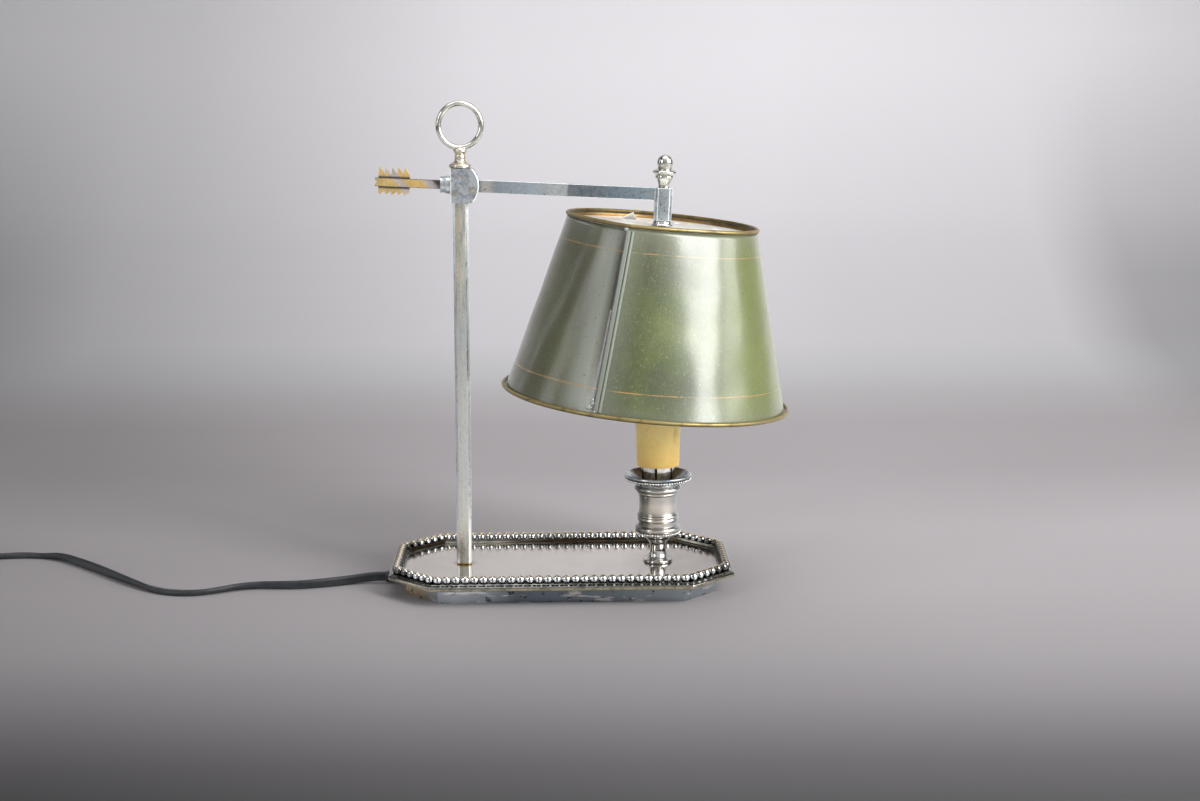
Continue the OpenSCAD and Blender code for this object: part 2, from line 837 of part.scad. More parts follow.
module drip_pan() {
    well = collar_d/2 + fit_gap;
    edge = pan_d/2;
    color(silver)
        turned([[well, pan_seat], [edge - 8.4, pan_seat], [edge - 8.2, pan_seat + 1.4], [edge - 7, pan_seat + 2.8],
            [edge - 4.6, pan_seat + 3.8], [edge - 1.7, pan_seat + 4.4], [edge - 0.9, pan_seat + 5.2],
            [edge - 1.1, pan_seat + 6], [edge - 0.2, pan_seat + 6.6], [edge, pan_seat + 7.3],
            [edge - 0.3, pan_seat + 8], [edge - 1, pan_seat + 8.4], [edge - 1.8, pan_seat + 8],
            [edge - 4, pan_seat + 6], [edge - 7, pan_seat + 4], [edge - 9, pan_floor + 0.6],
            [edge - 10.6, pan_floor], [well, pan_floor]]);
}

module split_collar() {
    slots = 6;
    color(silver)
        at_candle()
            difference() {
                translate([0, 0, collar_z])
                    cylinder(d = collar_d, h = sleeve_z - collar_z);
                translate([0, 0, collar_z + 1.4])
                    cylinder(d = collar_d - 2.6, h = sleeve_z - collar_z);
                cylinder(d = nipple_d + 2*fit_gap, h = sleeve_z);
                for (i = [0:slots - 1])
                    rotate(60*i + 20)
                        translate([0, -0.9, pan_seat - 4])
                            cube([collar_d, 1.8, 20]);
            }
}

module nipple() {
    color(brass)
        at_candle()
            translate([0, 0, nipple_z])
                difference() {
                    cylinder(d = nipple_d, h = leg_z + 8 - nipple_z);
                    translate([0, 0, -1])
                        cylinder(d = nipple_bore, h = leg_z + 12);
                }
}

module nipple_washer() {
    color(steel)
        at_candle()
            translate([0, 0, tray_under - washer_t])
                washer(washer_r + 1, washer_t, nipple_d + 2*fit_gap);
}

module nipple_nut() {
    color(brass)
        at_candle()
            translate([0, 0, tray_under - washer_t - nut_t])
                hex_nut(14, nut_t, nipple_d + 2*fit_gap);
}

// The steel leg that carries the lampholder: a foot on the nipple and an upright strip
module holder_leg() {
    color(steel)
        at_candle() {
            difference() {
                translate([-leg_x - leg_t, -leg_w/2, leg_z])
                    cube([leg_x + leg_t + 7, leg_w, leg_t]);
                translate([0, 0, leg_z - 1])
                    cylinder(d = nipple_d + 2*fit_gap, h = 4);
            }
            translate([-leg_x - leg_t, -leg_w/2, leg_z])
                cube([leg_t, leg_w, holder_z + 1.2 - leg_z]);
            translate([-leg_x - leg_t, -leg_w/2, holder_z - leg_t])
                cube([leg_x + leg_t - lead_d/2 - 0.6, leg_w, leg_t]);
        }
}

module leg_nut() {
    color(brass)
        at_candle()
            translate([0, 0, leg_z + leg_t])
                hex_nut(13, nut_t, nipple_d + 2*fit_gap);
}

module holder_body() {
    slot = leg_t + 0.2;
    color("black")
        at_candle()
            difference() {
                translate([0, 0, holder_z])
                    cylinder(r = holder_r, h = holder_h);
                translate([0, 0, holder_z + 6])
                    cylinder(r = shell_r + shell_t, h = holder_h);
                translate([0, 0, holder_z - 1])
                    cylinder(d = lead_d + 1, h = 4);
                translate([-leg_x - leg_t - 0.1, -leg_w/2 - 0.1, holder_z - 1])
                    cube([slot, leg_w + 0.2, 2.4]);
            }
}

module screw_shell() {
    color("goldenrod")
        at_candle()
            translate([0, 0, holder_z + 7])
                difference() {
                    cylinder(r = shell_r + shell_t, h = holder_h - 9);
                    translate([0, 0, -1])
                        cylinder(r = shell_r, h = holder_h);
                }
}

module centre_contact() {
    color("goldenrod")
        at_candle()
            translate([0, 0, holder_z + 6]) {
                cylinder(r = 4, h = 0.8);
                cylinder(r = 2.4, h = cap_z - holder_z - 6);
            }
}

// The ivory sleeve, standing on the split collar, with drips run down from its top
module candle_sleeve() {
    r = sleeve_d/2;
    top = sleeve_z + sleeve_len;
    bore = nipple_d/2 + 2*fit_gap;
    color("khaki")
        difference() {
            union() {
                turned([[0, sleeve_z], [sleeve_foot_r, sleeve_z], [r, sleeve_z + sleeve_taper], [r, top], [0, top]]);
                at_candle()
                    for (drip = [[-35, 59], [75, 30], [160, 41], [250, 24]])
                        rotate(drip[0])
                            translate([r - 0.4, 0, top - drip[1] + 2.4]) {
                                cylinder(r = 1.5, h = drip[1] - 2.6, $fn = 16);
                                sphere(r = 2.4, $fn = 20);
                            }
            }
            turned([[0, sleeve_z - 1], [bore, sleeve_z - 1], [bore, sleeve_z + 2],
                [sleeve_foot_r - sleeve_t, sleeve_z + 2], [r - sleeve_t, sleeve_z + sleeve_taper],
                [r - sleeve_t, top + 1], [0, top + 1]]);
        }
}

module bulb_cap() {
    color("silver")
        at_candle()
            translate([0, 0, cap_z])
                rotate_extrude()
                    polygon([[0, 0], [5, 0], [6, 1.4], [cap_r - 2.4, 4], [cap_r, 5.5], [cap_r, cap_h], [0, cap_h]]);
}

module bulb_glass() {
    neck = cap_r - 1.3;
    base = cap_z + cap_h;
    color("white", 0.7)
        at_candle() {
            translate([0, 0, bulb_z])
                sphere(d = bulb_d, $fn = 48);
            translate([0, 0, base])
                cylinder(r = neck, h = bulb_z - base - 6);
        }
}

// The flexible lead from the cord's end to the lampholder, round the post's nut and up the nipple
module lamp_leads() {
    x = candle_offset;
    start = -skirt_x + bushing_in;
    low = felt_t + bottom_t + lead_d/2 + 0.4;
    route = [[start, 0, bushing_z], [start + 4, 0, bushing_z], [start + 10, -2.5, bushing_z],
        [start + 17, -8, low], [start + 26, -12, low], [-post_offset + 12, -12, low], [-30, -10, low],
        [0, -7, low], [x - 35, -4, low], [x - 15, -1, low], [x - 6, 0, low], [x - 2.6, 0, low + 0.5],
        [x - 0.7, 0, low + 2.4], [x, 0, low + 5.4], [x, 0, tray_z + 30], [x, 0, leg_z + 8],
        [x, 0, holder_z + 3]];
    color("dimgray")
        tube_along(route, lead_d, 8);
}

// ---- cord, switch and plug ----

module cord_run() {
    color("black") {
        tube_along(cord_route, cord_w, 8);
        tube_along(link_route, cord_w, 8);
        tube_along(tail_route, cord_w, 8);
    }
}

module cord_coil() {
    h = coil_layers*cord_w;
    e = coil_edge;
    color("black")
        translate([coil_mid[0], coil_mid[1], 0])
            rotate_extrude($fn = 64)
                polygon([[coil_r - coil_half + e, 0], [coil_r + coil_half - e, 0], [coil_r + coil_half, e],
                    [coil_r + coil_half, h - e], [coil_r + coil_half - e, h], [coil_r - coil_half + e, h],
                    [coil_r - coil_half, h - e], [coil_r - coil_half, e]]);
}

module cord_tie() {
    gap = 0.3;
    h = coil_layers*cord_w + 2*gap;
    w = 2*coil_half + 2*gap;
    color("dimgray")
        translate([coil_mid[0] - coil_r, coil_mid[1], 0])
            rotate(90)
                difference() {
                    translate([-2.5, -w/2 - 1, 0])
                        cube([5, w + 2, h + 1]);
                    translate([-5, -w/2, -1])
                        cube([10, w, h + 1]);
                }
}

module at_switch() {
    translate([switch_mid[0], switch_mid[1], 0])
        rotate(switch_turn)
            children();
}

module switch_half(z, h) {
    translate([0, 0, z])
        linear_extrude(h)
            intersection() {
                square([switch_len, switch_w], center = true);
                circle(d = switch_len + 2, $fn = 72);
                polygon([[-switch_len/2, -9], [-switch_len/2 + 8, -switch_w/2], [switch_len/2 - 8, -switch_w/2],
                    [switch_len/2, -9], [switch_len/2, 9], [switch_len/2 - 8, switch_w/2],
                    [-switch_len/2 + 8, switch_w/2], [-switch_len/2, 9]]);
            }
}

module switch_base() {
    color("black")
        at_switch()
            difference() {
                switch_half(0, switch_h);
                translate([-rocker_len/2 - 1, -rocker_w/2 - 1, 2])
                    cube([rocker_len + 2, rocker_w + 2, switch_h]);
                for (x = [-1, 1])
                    translate([x*(switch_len/2 - 9), 8, 2])
                        cylinder(d = 2.2, h = switch_h);
            }
}

module switch_cover() {
    color("black")
        at_switch()
            difference() {
                switch_half(switch_h, switch_cover_h);
                translate([-rocker_len/2 - 0.4, -rocker_w/2 - 0.4, switch_h - 1])
                    cube([rocker_len + 0.8, rocker_w + 0.8, switch_cover_h + 2]);
                for (x = [-1, 1])
                    translate([x*(switch_len/2 - 9), 8, switch_h - 1]) {
                        cylinder(d = 2.8, h = switch_cover_h + 2);
                        translate([0, 0, switch_cover_h - 1])
                            cylinder(d = 5, h = 3);
                    }
            }
}

// The rocker turns on a cross pin; its top is a shallow V
module switch_rocker() {
    pivot_z = switch_h + 2;
    color("dimgray")
        at_switch()
            intersection() {
                translate([0, 0, pivot_z])
                    rotate([90, 0, 0])
                        linear_extrude(rocker_w, center = true)
                            polygon([[-rocker_len/2 + 1.2, 5.6], [0, 4.4], [rocker_len/2 - 1.2, 5.6],
                                [rocker_len/2 - 0.6, 0], [rocker_len/2 - 3.2, -3.4], [-rocker_len/2 + 3.2, -3.4],
                                [-rocker_len/2 + 0.6, 0]]);
                translate([0, 0, pivot_z])
                    rotate([90, 0, 0])
                        cylinder(r = rocker_len/2 - 0.2, h = rocker_w + 2, center = true);
            }
}

module switch_screws() {
    color(steel)
        at_switch()
            for (x = [-1, 1])
                translate([x*(switch_len/2 - 9), 8, 0]) {
                    translate([0, 0, 3])
                        cylinder(d = 2, h = switch_h + switch_cover_h - 4);
                    translate([0, 0, switch_h + switch_cover_h - 1])
                        cylinder(d = 4.6, h = 1);
                }
}

module at_plug() {
    translate(plug_at)
        children();
}

// The moulded plug: a tapered strain relief that leaves the coil, and a flat body
module plug_body() {
    relief = 14;
    color("black")
        at_plug() {
            rotate([0, 90, 0])
                cylinder(d1 = cord_w, d2 = 10, h = relief);
            translate([relief - eps, -plug_w/2, -plug_h/2])
                cube([plug_len, plug_w, plug_h]);
        }
}

module plug_blades() {
    color("goldenrod")
        at_plug()
            for (y = [-1, 1])
                translate([14 + plug_len - eps, y*6.35 - 0.75, -3.2])
                    cube([17, 1.5, 6.4]);
}

tray_plate();
edge_moulding();
bead_row();
base_skirt();
bottom_lugs();
bottom_plate();
felt_pad();
bottom_screws();
cord_bushing();
post();
post_washer();
post_nut();
ring_collar();
ring_handle();
slider_block();
arrow_shaft();
arrow_vanes();
arm();
arm_finial();
shade_rod();
shade_spacer();
lower_washer();
shade_nut();
shade_shell();
shade_seam();
top_rim_wire();
bottom_rim_wire();
shade_plate();
candle_stem();
nozzle_cup();
drip_pan();
split_collar();
nipple();
nipple_washer();
nipple_nut();
holder_leg();
leg_nut();
holder_body();
screw_shell();
centre_contact();
candle_sleeve();
bulb_cap();
bulb_glass();
lamp_leads();
cord_run();
cord_coil();
cord_tie();
plug_body();
plug_blades();
switch_base();
switch_cover();
switch_rocker();
switch_screws();
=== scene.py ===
"""A bouillotte desk lamp: silver-plated base, post and sliding arm, painted shade, candle lampholder."""

import json
import math

import bmesh
import bpy
from mathutils import Matrix, Vector, noise


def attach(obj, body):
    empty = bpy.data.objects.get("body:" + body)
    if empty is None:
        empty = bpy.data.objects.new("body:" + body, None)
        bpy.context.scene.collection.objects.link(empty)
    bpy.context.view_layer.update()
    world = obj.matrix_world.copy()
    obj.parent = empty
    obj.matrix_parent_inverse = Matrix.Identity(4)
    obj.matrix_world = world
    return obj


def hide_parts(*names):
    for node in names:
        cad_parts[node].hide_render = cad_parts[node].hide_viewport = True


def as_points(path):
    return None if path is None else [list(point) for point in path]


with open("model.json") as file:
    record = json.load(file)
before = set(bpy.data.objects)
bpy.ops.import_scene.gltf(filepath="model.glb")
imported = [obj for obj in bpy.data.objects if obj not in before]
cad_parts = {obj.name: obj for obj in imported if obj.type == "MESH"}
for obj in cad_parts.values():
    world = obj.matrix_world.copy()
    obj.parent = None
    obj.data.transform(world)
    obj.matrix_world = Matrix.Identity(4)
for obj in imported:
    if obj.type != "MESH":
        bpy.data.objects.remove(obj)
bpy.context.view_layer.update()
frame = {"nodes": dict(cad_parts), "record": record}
nodes = frame["nodes"]

MM = 0.001


# ---- where the lamp's parts sit, in millimetres ----


def shift(x, y, z):
    return Matrix.Translation((x, y, z))


def tilt(degrees, axis):
    return Matrix.Rotation(math.radians(degrees), 4, axis)


TRAY = shift(0, 0, 14.4)
POST = shift(-69, 0, 14.4) @ tilt(0.4, "Y")
COLLAR = POST @ shift(0, 0, 279.6)
RING = POST @ shift(0, 0, 308.23) @ tilt(17, "Z") @ tilt(90, "X")
ARM = POST @ shift(0, 0, 267.7) @ tilt(2.4, "Y")
DROP = ARM @ shift(139.6, 0, 0)
SHADE = shift(71.213, 0, 253.001) @ tilt(5.6, "Y")
CANDLE = shift(68.8, 0, 0)
CUP = CANDLE @ TRAY
PAN = CANDLE @ shift(0, 0, 70.4)
CORD_HOLE = shift(-108.6, 0, 5) @ tilt(-90, "Y")


# ---- small helpers ----


def linear(hex_colour):
    """An sRGB colour such as "a08040" as the linear values that Blender's sockets take."""
    values = [int(hex_colour[i:i + 2], 16) / 255 for i in (0, 2, 4)]
    return [v / 12.92 if v <= 0.04045 else ((v + 0.055) / 1.055) ** 2.4 for v in values] + [1.0]


def add_node(tree, kind, settings=None, links=None, stops=None, **attributes):
    """Adds a node, sets its sockets, attributes and colour stops, and links other nodes' outputs into it."""
    node = tree.nodes.new("ShaderNode" + kind)
    for name, value in attributes.items():
        setattr(node, name, value)
    for name, value in (settings or {}).items():
        node.inputs[name].default_value = value
    for name, socket in (links or {}).items():
        tree.links.new(socket, node.inputs[name])
    for index, (at, colour) in enumerate(stops or []):
        stop = node.color_ramp.elements[index] if index < 2 else node.color_ramp.elements.new(at)
        stop.position, stop.color = at, linear(colour)
    return node


def new_material(name, **shader):
    """A material with one Principled shader, set by socket name, its node tree and the shader."""
    material = bpy.data.materials.new(name)
    material.use_nodes = True
    tree = material.node_tree
    tree.nodes.clear()
    bsdf = add_node(tree, "BsdfPrincipled", {k.replace("_", " "): v for k, v in shader.items()})
    output = add_node(tree, "OutputMaterial")
    tree.links.new(bsdf.outputs["BSDF"], output.inputs["Surface"])
    return material, tree, bsdf


def rounded(corners, share=30, closed=False):
    """A chain of 2-D points with rounded corners, each over a share in percent of the runs beside it."""
    wire = bmesh.new()
    dots = [wire.verts.new((x, y, 0)) for x, y in corners]
    for pair in zip(dots, dots[1:] + dots[:1] if closed else dots[1:]):
        wire.edges.new(pair)
    ends = [] if closed else [dots[0], dots[-1]]
    bmesh.ops.bevel(wire, geom=[d for d in dots if d not in ends], offset=share, offset_type="PERCENT",
                    segments=3, profile=0.5, material=-1, affect="VERTICES")
    first = min(wire.verts, key=lambda v: (v.co.xy - Vector(corners[0])).length)
    chain, edge = [first], None
    while True:
        onward = [e for e in chain[-1].link_edges if e is not edge]
        if not onward:
            break
        edge = min(onward, key=lambda e: (e.other_vert(chain[-1]).co.xy - Vector(corners[1])).length)
        after = edge.other_vert(chain[-1])
        if after is first:
            break
        chain.append(after)
    points = [(v.co.x, v.co.y) for v in chain]
    wire.free()
    return points + points[:1] if closed else points


def turned(profile, steps=72, closed=False):
    """A shape turned on a lathe about Z from its (radius, height) profile."""
    shape = bmesh.new()
    dots = [shape.verts.new((r, 0, z)) for r, z in profile]
    for pair in zip(dots, dots[1:] + dots[:1] if closed else dots[1:]):
        shape.edges.new(pair)
    bmesh.ops.spin(shape, geom=shape.verts[:] + shape.edges[:], cent=(0, 0, 0), axis=(0, 0, 1),
                   angle=math.tau, steps=steps, use_merge=True)
    return shape


def wrapped(columns, rows, place):
    """A grid bent into shape. place gives a point for the shares along and across it, its UV map."""
    shape = bmesh.new()
    shape.loops.layers.uv.new("shares")
    bmesh.ops.create_grid(shape, x_segments=columns, y_segments=rows, size=0.5, calc_uvs=True)
    for vertex in shape.verts:
        vertex.co = place(vertex.co.x + 0.5, vertex.co.y + 0.5)
    return shape


def copy_of(node, edge, over=30, segments=3, worn_edges=False, chosen=None):
    """A copy of a CAD node in millimetres, its triangles joined up and its sharp edges rounded, or only the
    chosen ones. Bright worn edges take the piece's second material, which paints a highlight along them."""
    shape = bmesh.new()
    shape.from_mesh(nodes[node].data)
    bmesh.ops.transform(shape, matrix=Matrix.Scale(1 / MM, 4), verts=shape.verts)
    bmesh.ops.remove_doubles(shape, verts=shape.verts, dist=0.002)
    bmesh.ops.dissolve_limit(shape, angle_limit=math.radians(0.6), verts=shape.verts, edges=shape.edges)
    sharp = [e for e in shape.edges if e.is_manifold and e.calc_face_angle(0) > math.radians(over)
             and (chosen is None or chosen(e))]
    eased = bmesh.ops.bevel(shape, geom=sharp, offset=edge, offset_type="OFFSET", segments=segments,
                            profile=0.5, material=-1, affect="EDGES", clamp_overlap=True)
    if worn_edges:
        for face in eased["faces"]:
            face.material_index = 1
    return shape


def balls(places, radius, rounds=2):
    """Small balls at a list of places."""
    shape = bmesh.new()
    for at in places:
        bmesh.ops.create_icosphere(shape, subdivisions=rounds, radius=radius, matrix=shift(*at))
    return shape


def finished(shape, name, where=Matrix(), creases=38, outward=True):
    """Closes a shape's seams, points its faces outwards, puts it in place and makes it a mesh in metres."""
    if outward:
        bmesh.ops.remove_doubles(shape, verts=shape.verts, dist=0.004)
        bmesh.ops.recalc_face_normals(shape, faces=shape.faces)
    bmesh.ops.transform(shape, matrix=Matrix.Scale(MM, 4) @ where, verts=shape.verts)
    mesh = bpy.data.meshes.new(name)
    shape.to_mesh(mesh)
    shape.free()
    for polygon in mesh.polygons:
        polygon.use_smooth = True
    mesh.set_sharp_from_angle(angle=math.radians(creases))
    return mesh


def as_piece(name, mesh, material, body, slot, *stands_for, even=False):
    """Puts a finished mesh into the scene as a piece of the lamp. Even shading keeps its flat faces flat."""
    piece = bpy.data.objects.new(name, mesh)
    bpy.context.scene.collection.objects.link(piece)
    for one in material if isinstance(material, list) else [material]:
        mesh.materials.append(one)
    if even:
        piece.modifiers.new("even shading", "WEIGHTED_NORMAL").keep_sharp = True
    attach(piece, body)
    if stands_for:
        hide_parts(*stands_for)
    return piece


def eased_copy(name, node, edge, material, body, slot, even=True, **copying):
    """A piece that copies a CAD node and eases its edges."""
    mesh = finished(copy_of(node, edge, **copying), name, outward=False)
    return as_piece(name, mesh, material, body, slot, node, even=even)


# ---- camera ----

CAMERA_AT = Vector((-1.9, -1224.9, 357.5))
CAMERA_HEADING = Vector((0.0244, 0.9997, 0))
CAMERA_DOWN, CAMERA_ROLL = math.radians(10.464), math.radians(-0.24)
LENS, SENSOR = 53.22, 36


def make_camera():
    """The camera, turned by its heading over the floor, its angle down and a slight roll."""
    ahead = CAMERA_HEADING.normalized() * math.cos(CAMERA_DOWN) + Vector((0, 0, -math.sin(CAMERA_DOWN)))
    level = ahead.cross(Vector((0, 0, 1))).normalized()
    upright = level.cross(ahead)
    right = level * math.cos(CAMERA_ROLL) + upright * math.sin(CAMERA_ROLL)
    up = upright * math.cos(CAMERA_ROLL) - level * math.sin(CAMERA_ROLL)
    data = bpy.data.cameras.new("camera")
    data.sensor_width, data.lens = SENSOR, LENS
    data.clip_start, data.clip_end = 0.05, 30
    camera = bpy.data.objects.new("camera", data)
    bpy.context.scene.collection.objects.link(camera)
    facing = Matrix((right, up, -ahead)).transposed().to_4x4()
    camera.matrix_world = Matrix.Translation(CAMERA_AT * MM) @ facing
    bpy.context.scene.camera = camera


make_camera()

# ---- the cord's shape: flat twin cord, laid on the floor, with a coil for what is put away ----

CORD_W, CORD_T = 6.8, 3.6
CLEAR = 0.2  # kept between the cord and what it lies on
# (x, y, height of the CAD's centreline, roll in degrees: 0 lies flat, 90 stands on its edge)
CORD_ROUTE = [(-125, 0, 5, 84), (-132, 0, 4.9, 84), (-140, -0.6, 4.3, 84), (-149, -2.6, 3.6, 84),
              (-158, -5.6, 3.4, 80), (-171, -10, 3.4, 74), (-185, -13, 3.4, 66), (-199, -13, 3.4, 58),
              (-213, -12, 3.4, 46), (-227, -14, 3.4, 34), (-240, -20, 3.4, 22), (-253, -25, 3.4, 14),
              (-267, -25, 3.4, 8), (-282, -19, 3.4, 10), (-299, -5, 3.4, 34), (-317, 12, 3.4, 66),
              (-336, 32, 3.4, 84), (-356, 52, 3.4, 88), (-374, 68, 3.4, 64), (-390, 76, 3.4, 10),
              (-406, 78, 3.4, -6), (-421, 76, 3.4, 14), (-431, 73, 3.6, 6), (-438, 71, 4.5, 0),
              (-465, 63.75, 4.5, 0), (-492.1, 56.5, 4.5, 0), (-498, 54.9, 4.4, 12), (-504.4, 53.2, 4.2, 26),
              ]
COIL_AT = (-517.0, 11.0)
# the coil's turns, each at (mean radius, layer): up on the inside and down again on the outside
COIL_PLACES = [(34.4, 0), (34.4, 1), (34.4, 2), (40.6, 2), (40.6, 1), (40.6, 0)]
COIL_ENTRY, COIL_START, COIL_TURNS = (38.6, 0), 105, 5 + 165 / 360
LAYER = 6.3
STEPS_PER_TURN = 16
TAIL_ROUTE = [(-501, -29.6, 4.2, 24), (-497, -29.8, 4.9, 10), (-491, -29.9, 5.9, 2), (-478, -29.9, 6.6, 0)]


def resting(x, y, z, roll):
    """A point of the route, lowered until the rolled section touches what it lies on."""
    half = (CORD_W - CORD_T) / 2 * abs(math.sin(math.radians(roll))) + CORD_T / 2 + CLEAR
    return Vector((x, y, z - CORD_W / 2 + half)) * MM, math.radians(roll)


def coil_points():
    """The points of the coil. It moves over to the next place in the first quarter of each turn."""
    points = []
    for step in range(int(COIL_TURNS * STEPS_PER_TURN) + 2):
        turn, share = divmod(step / STEPS_PER_TURN, 1)
        here = COIL_PLACES[int(turn)]
        before = COIL_PLACES[int(turn) - 1] if turn else COIL_ENTRY
        moved = min(share * 4.4, 1)
        moved = moved * moved * (3 - 2 * moved)
        radius = before[0] + (here[0] - before[0]) * moved
        layer = before[1] + (here[1] - before[1]) * moved
        angle = math.radians(COIL_START + 360 * step / STEPS_PER_TURN)
        roll = 45 + 14 * noise.noise(Vector((step * 0.23, 3.1, 0)))
        points.append((COIL_AT[0] + radius * math.cos(angle), COIL_AT[1] + radius * math.sin(angle),
                       CORD_W / 2 + layer * LAYER, roll))
    return points


def cord_section():
    """The twin cord's outline, a closed curve: two round conductors side by side, one finely ribbed."""
    data = bpy.data.curves.new("cord section", "CURVE")
    data.dimensions = "2D"
    outline = []
    offset, steps, half_turn = (CORD_W - CORD_T) / 2, 18, 116
    for side in (1, -1):
        for step in range(steps + 1):
            angle = math.radians(-half_turn + 2 * half_turn * step / steps) + (0 if side == 1 else math.pi)
            radius = CORD_T / 2 - 0.05 + (0.09 * math.cos(9 * angle) if side == 1 else 0)
            outline.append((side * offset + radius * math.cos(angle), radius * math.sin(angle)))
    spline = data.splines.new("POLY")
    spline.points.add(len(outline) - 1)
    for point, (x, y) in zip(spline.points, outline):
        point.co = (x * MM, y * MM, 0, 1)
    spline.use_cyclic_u = True
    section = bpy.data.objects.new("cord section", data)
    bpy.context.scene.collection.objects.link(section)
    return section


def mesh_of(thing):
    """The mesh that a curve object makes."""
    return bpy.data.meshes.new_from_object(thing.evaluated_get(bpy.context.evaluated_depsgraph_get()))


def lay_cord(material):
    """The cord as a piece, its section swept along the route, and the points of its middle line."""
    data = bpy.data.curves.new("cord", "CURVE")
    data.dimensions = "3D"
    data.twist_mode = "Z_UP"
    data.resolution_u = 6
    data.use_fill_caps = True
    stations = [resting(*p) for p in CORD_ROUTE + coil_points() + TAIL_ROUTE]
    spline = data.splines.new("BEZIER")
    spline.bezier_points.add(len(stations) - 1)
    spline.tilt_interpolation = "BSPLINE"
    for point, (at, roll) in zip(spline.bezier_points, stations):
        point.co = at
        point.tilt = roll
        point.handle_left_type = point.handle_right_type = "AUTO"
    line = bpy.data.objects.new("cord line", data)
    bpy.context.scene.collection.objects.link(line)
    bpy.context.view_layer.update()
    path = [list(v.co) for v in mesh_of(line).vertices]
    section = cord_section()
    data.bevel_mode = "OBJECT"
    data.bevel_object = section
    bpy.context.view_layer.update()
    mesh = mesh_of(line)
    mesh.name = "cord"
    for done in (line, section):
        bpy.data.objects.remove(done)
    for polygon in mesh.polygons:
        polygon.use_smooth = True
    return as_piece("cord", mesh, material, "stand", "black_cord", "cord_run", "cord_coil"), path


# ---- finishes ----


def own_frame(tree, where):
    """The object's coordinates, in metres, as a part of the lamp sees them in its own frame."""
    place = add_node(tree, "TexCoord")
    mapping = add_node(tree, "Mapping", {"Location": where.translation * MM, "Rotation": where.to_euler()},
                       {"Vector": place.outputs["Object"]}, vector_type="TEXTURE")
    return mapping.outputs["Vector"]


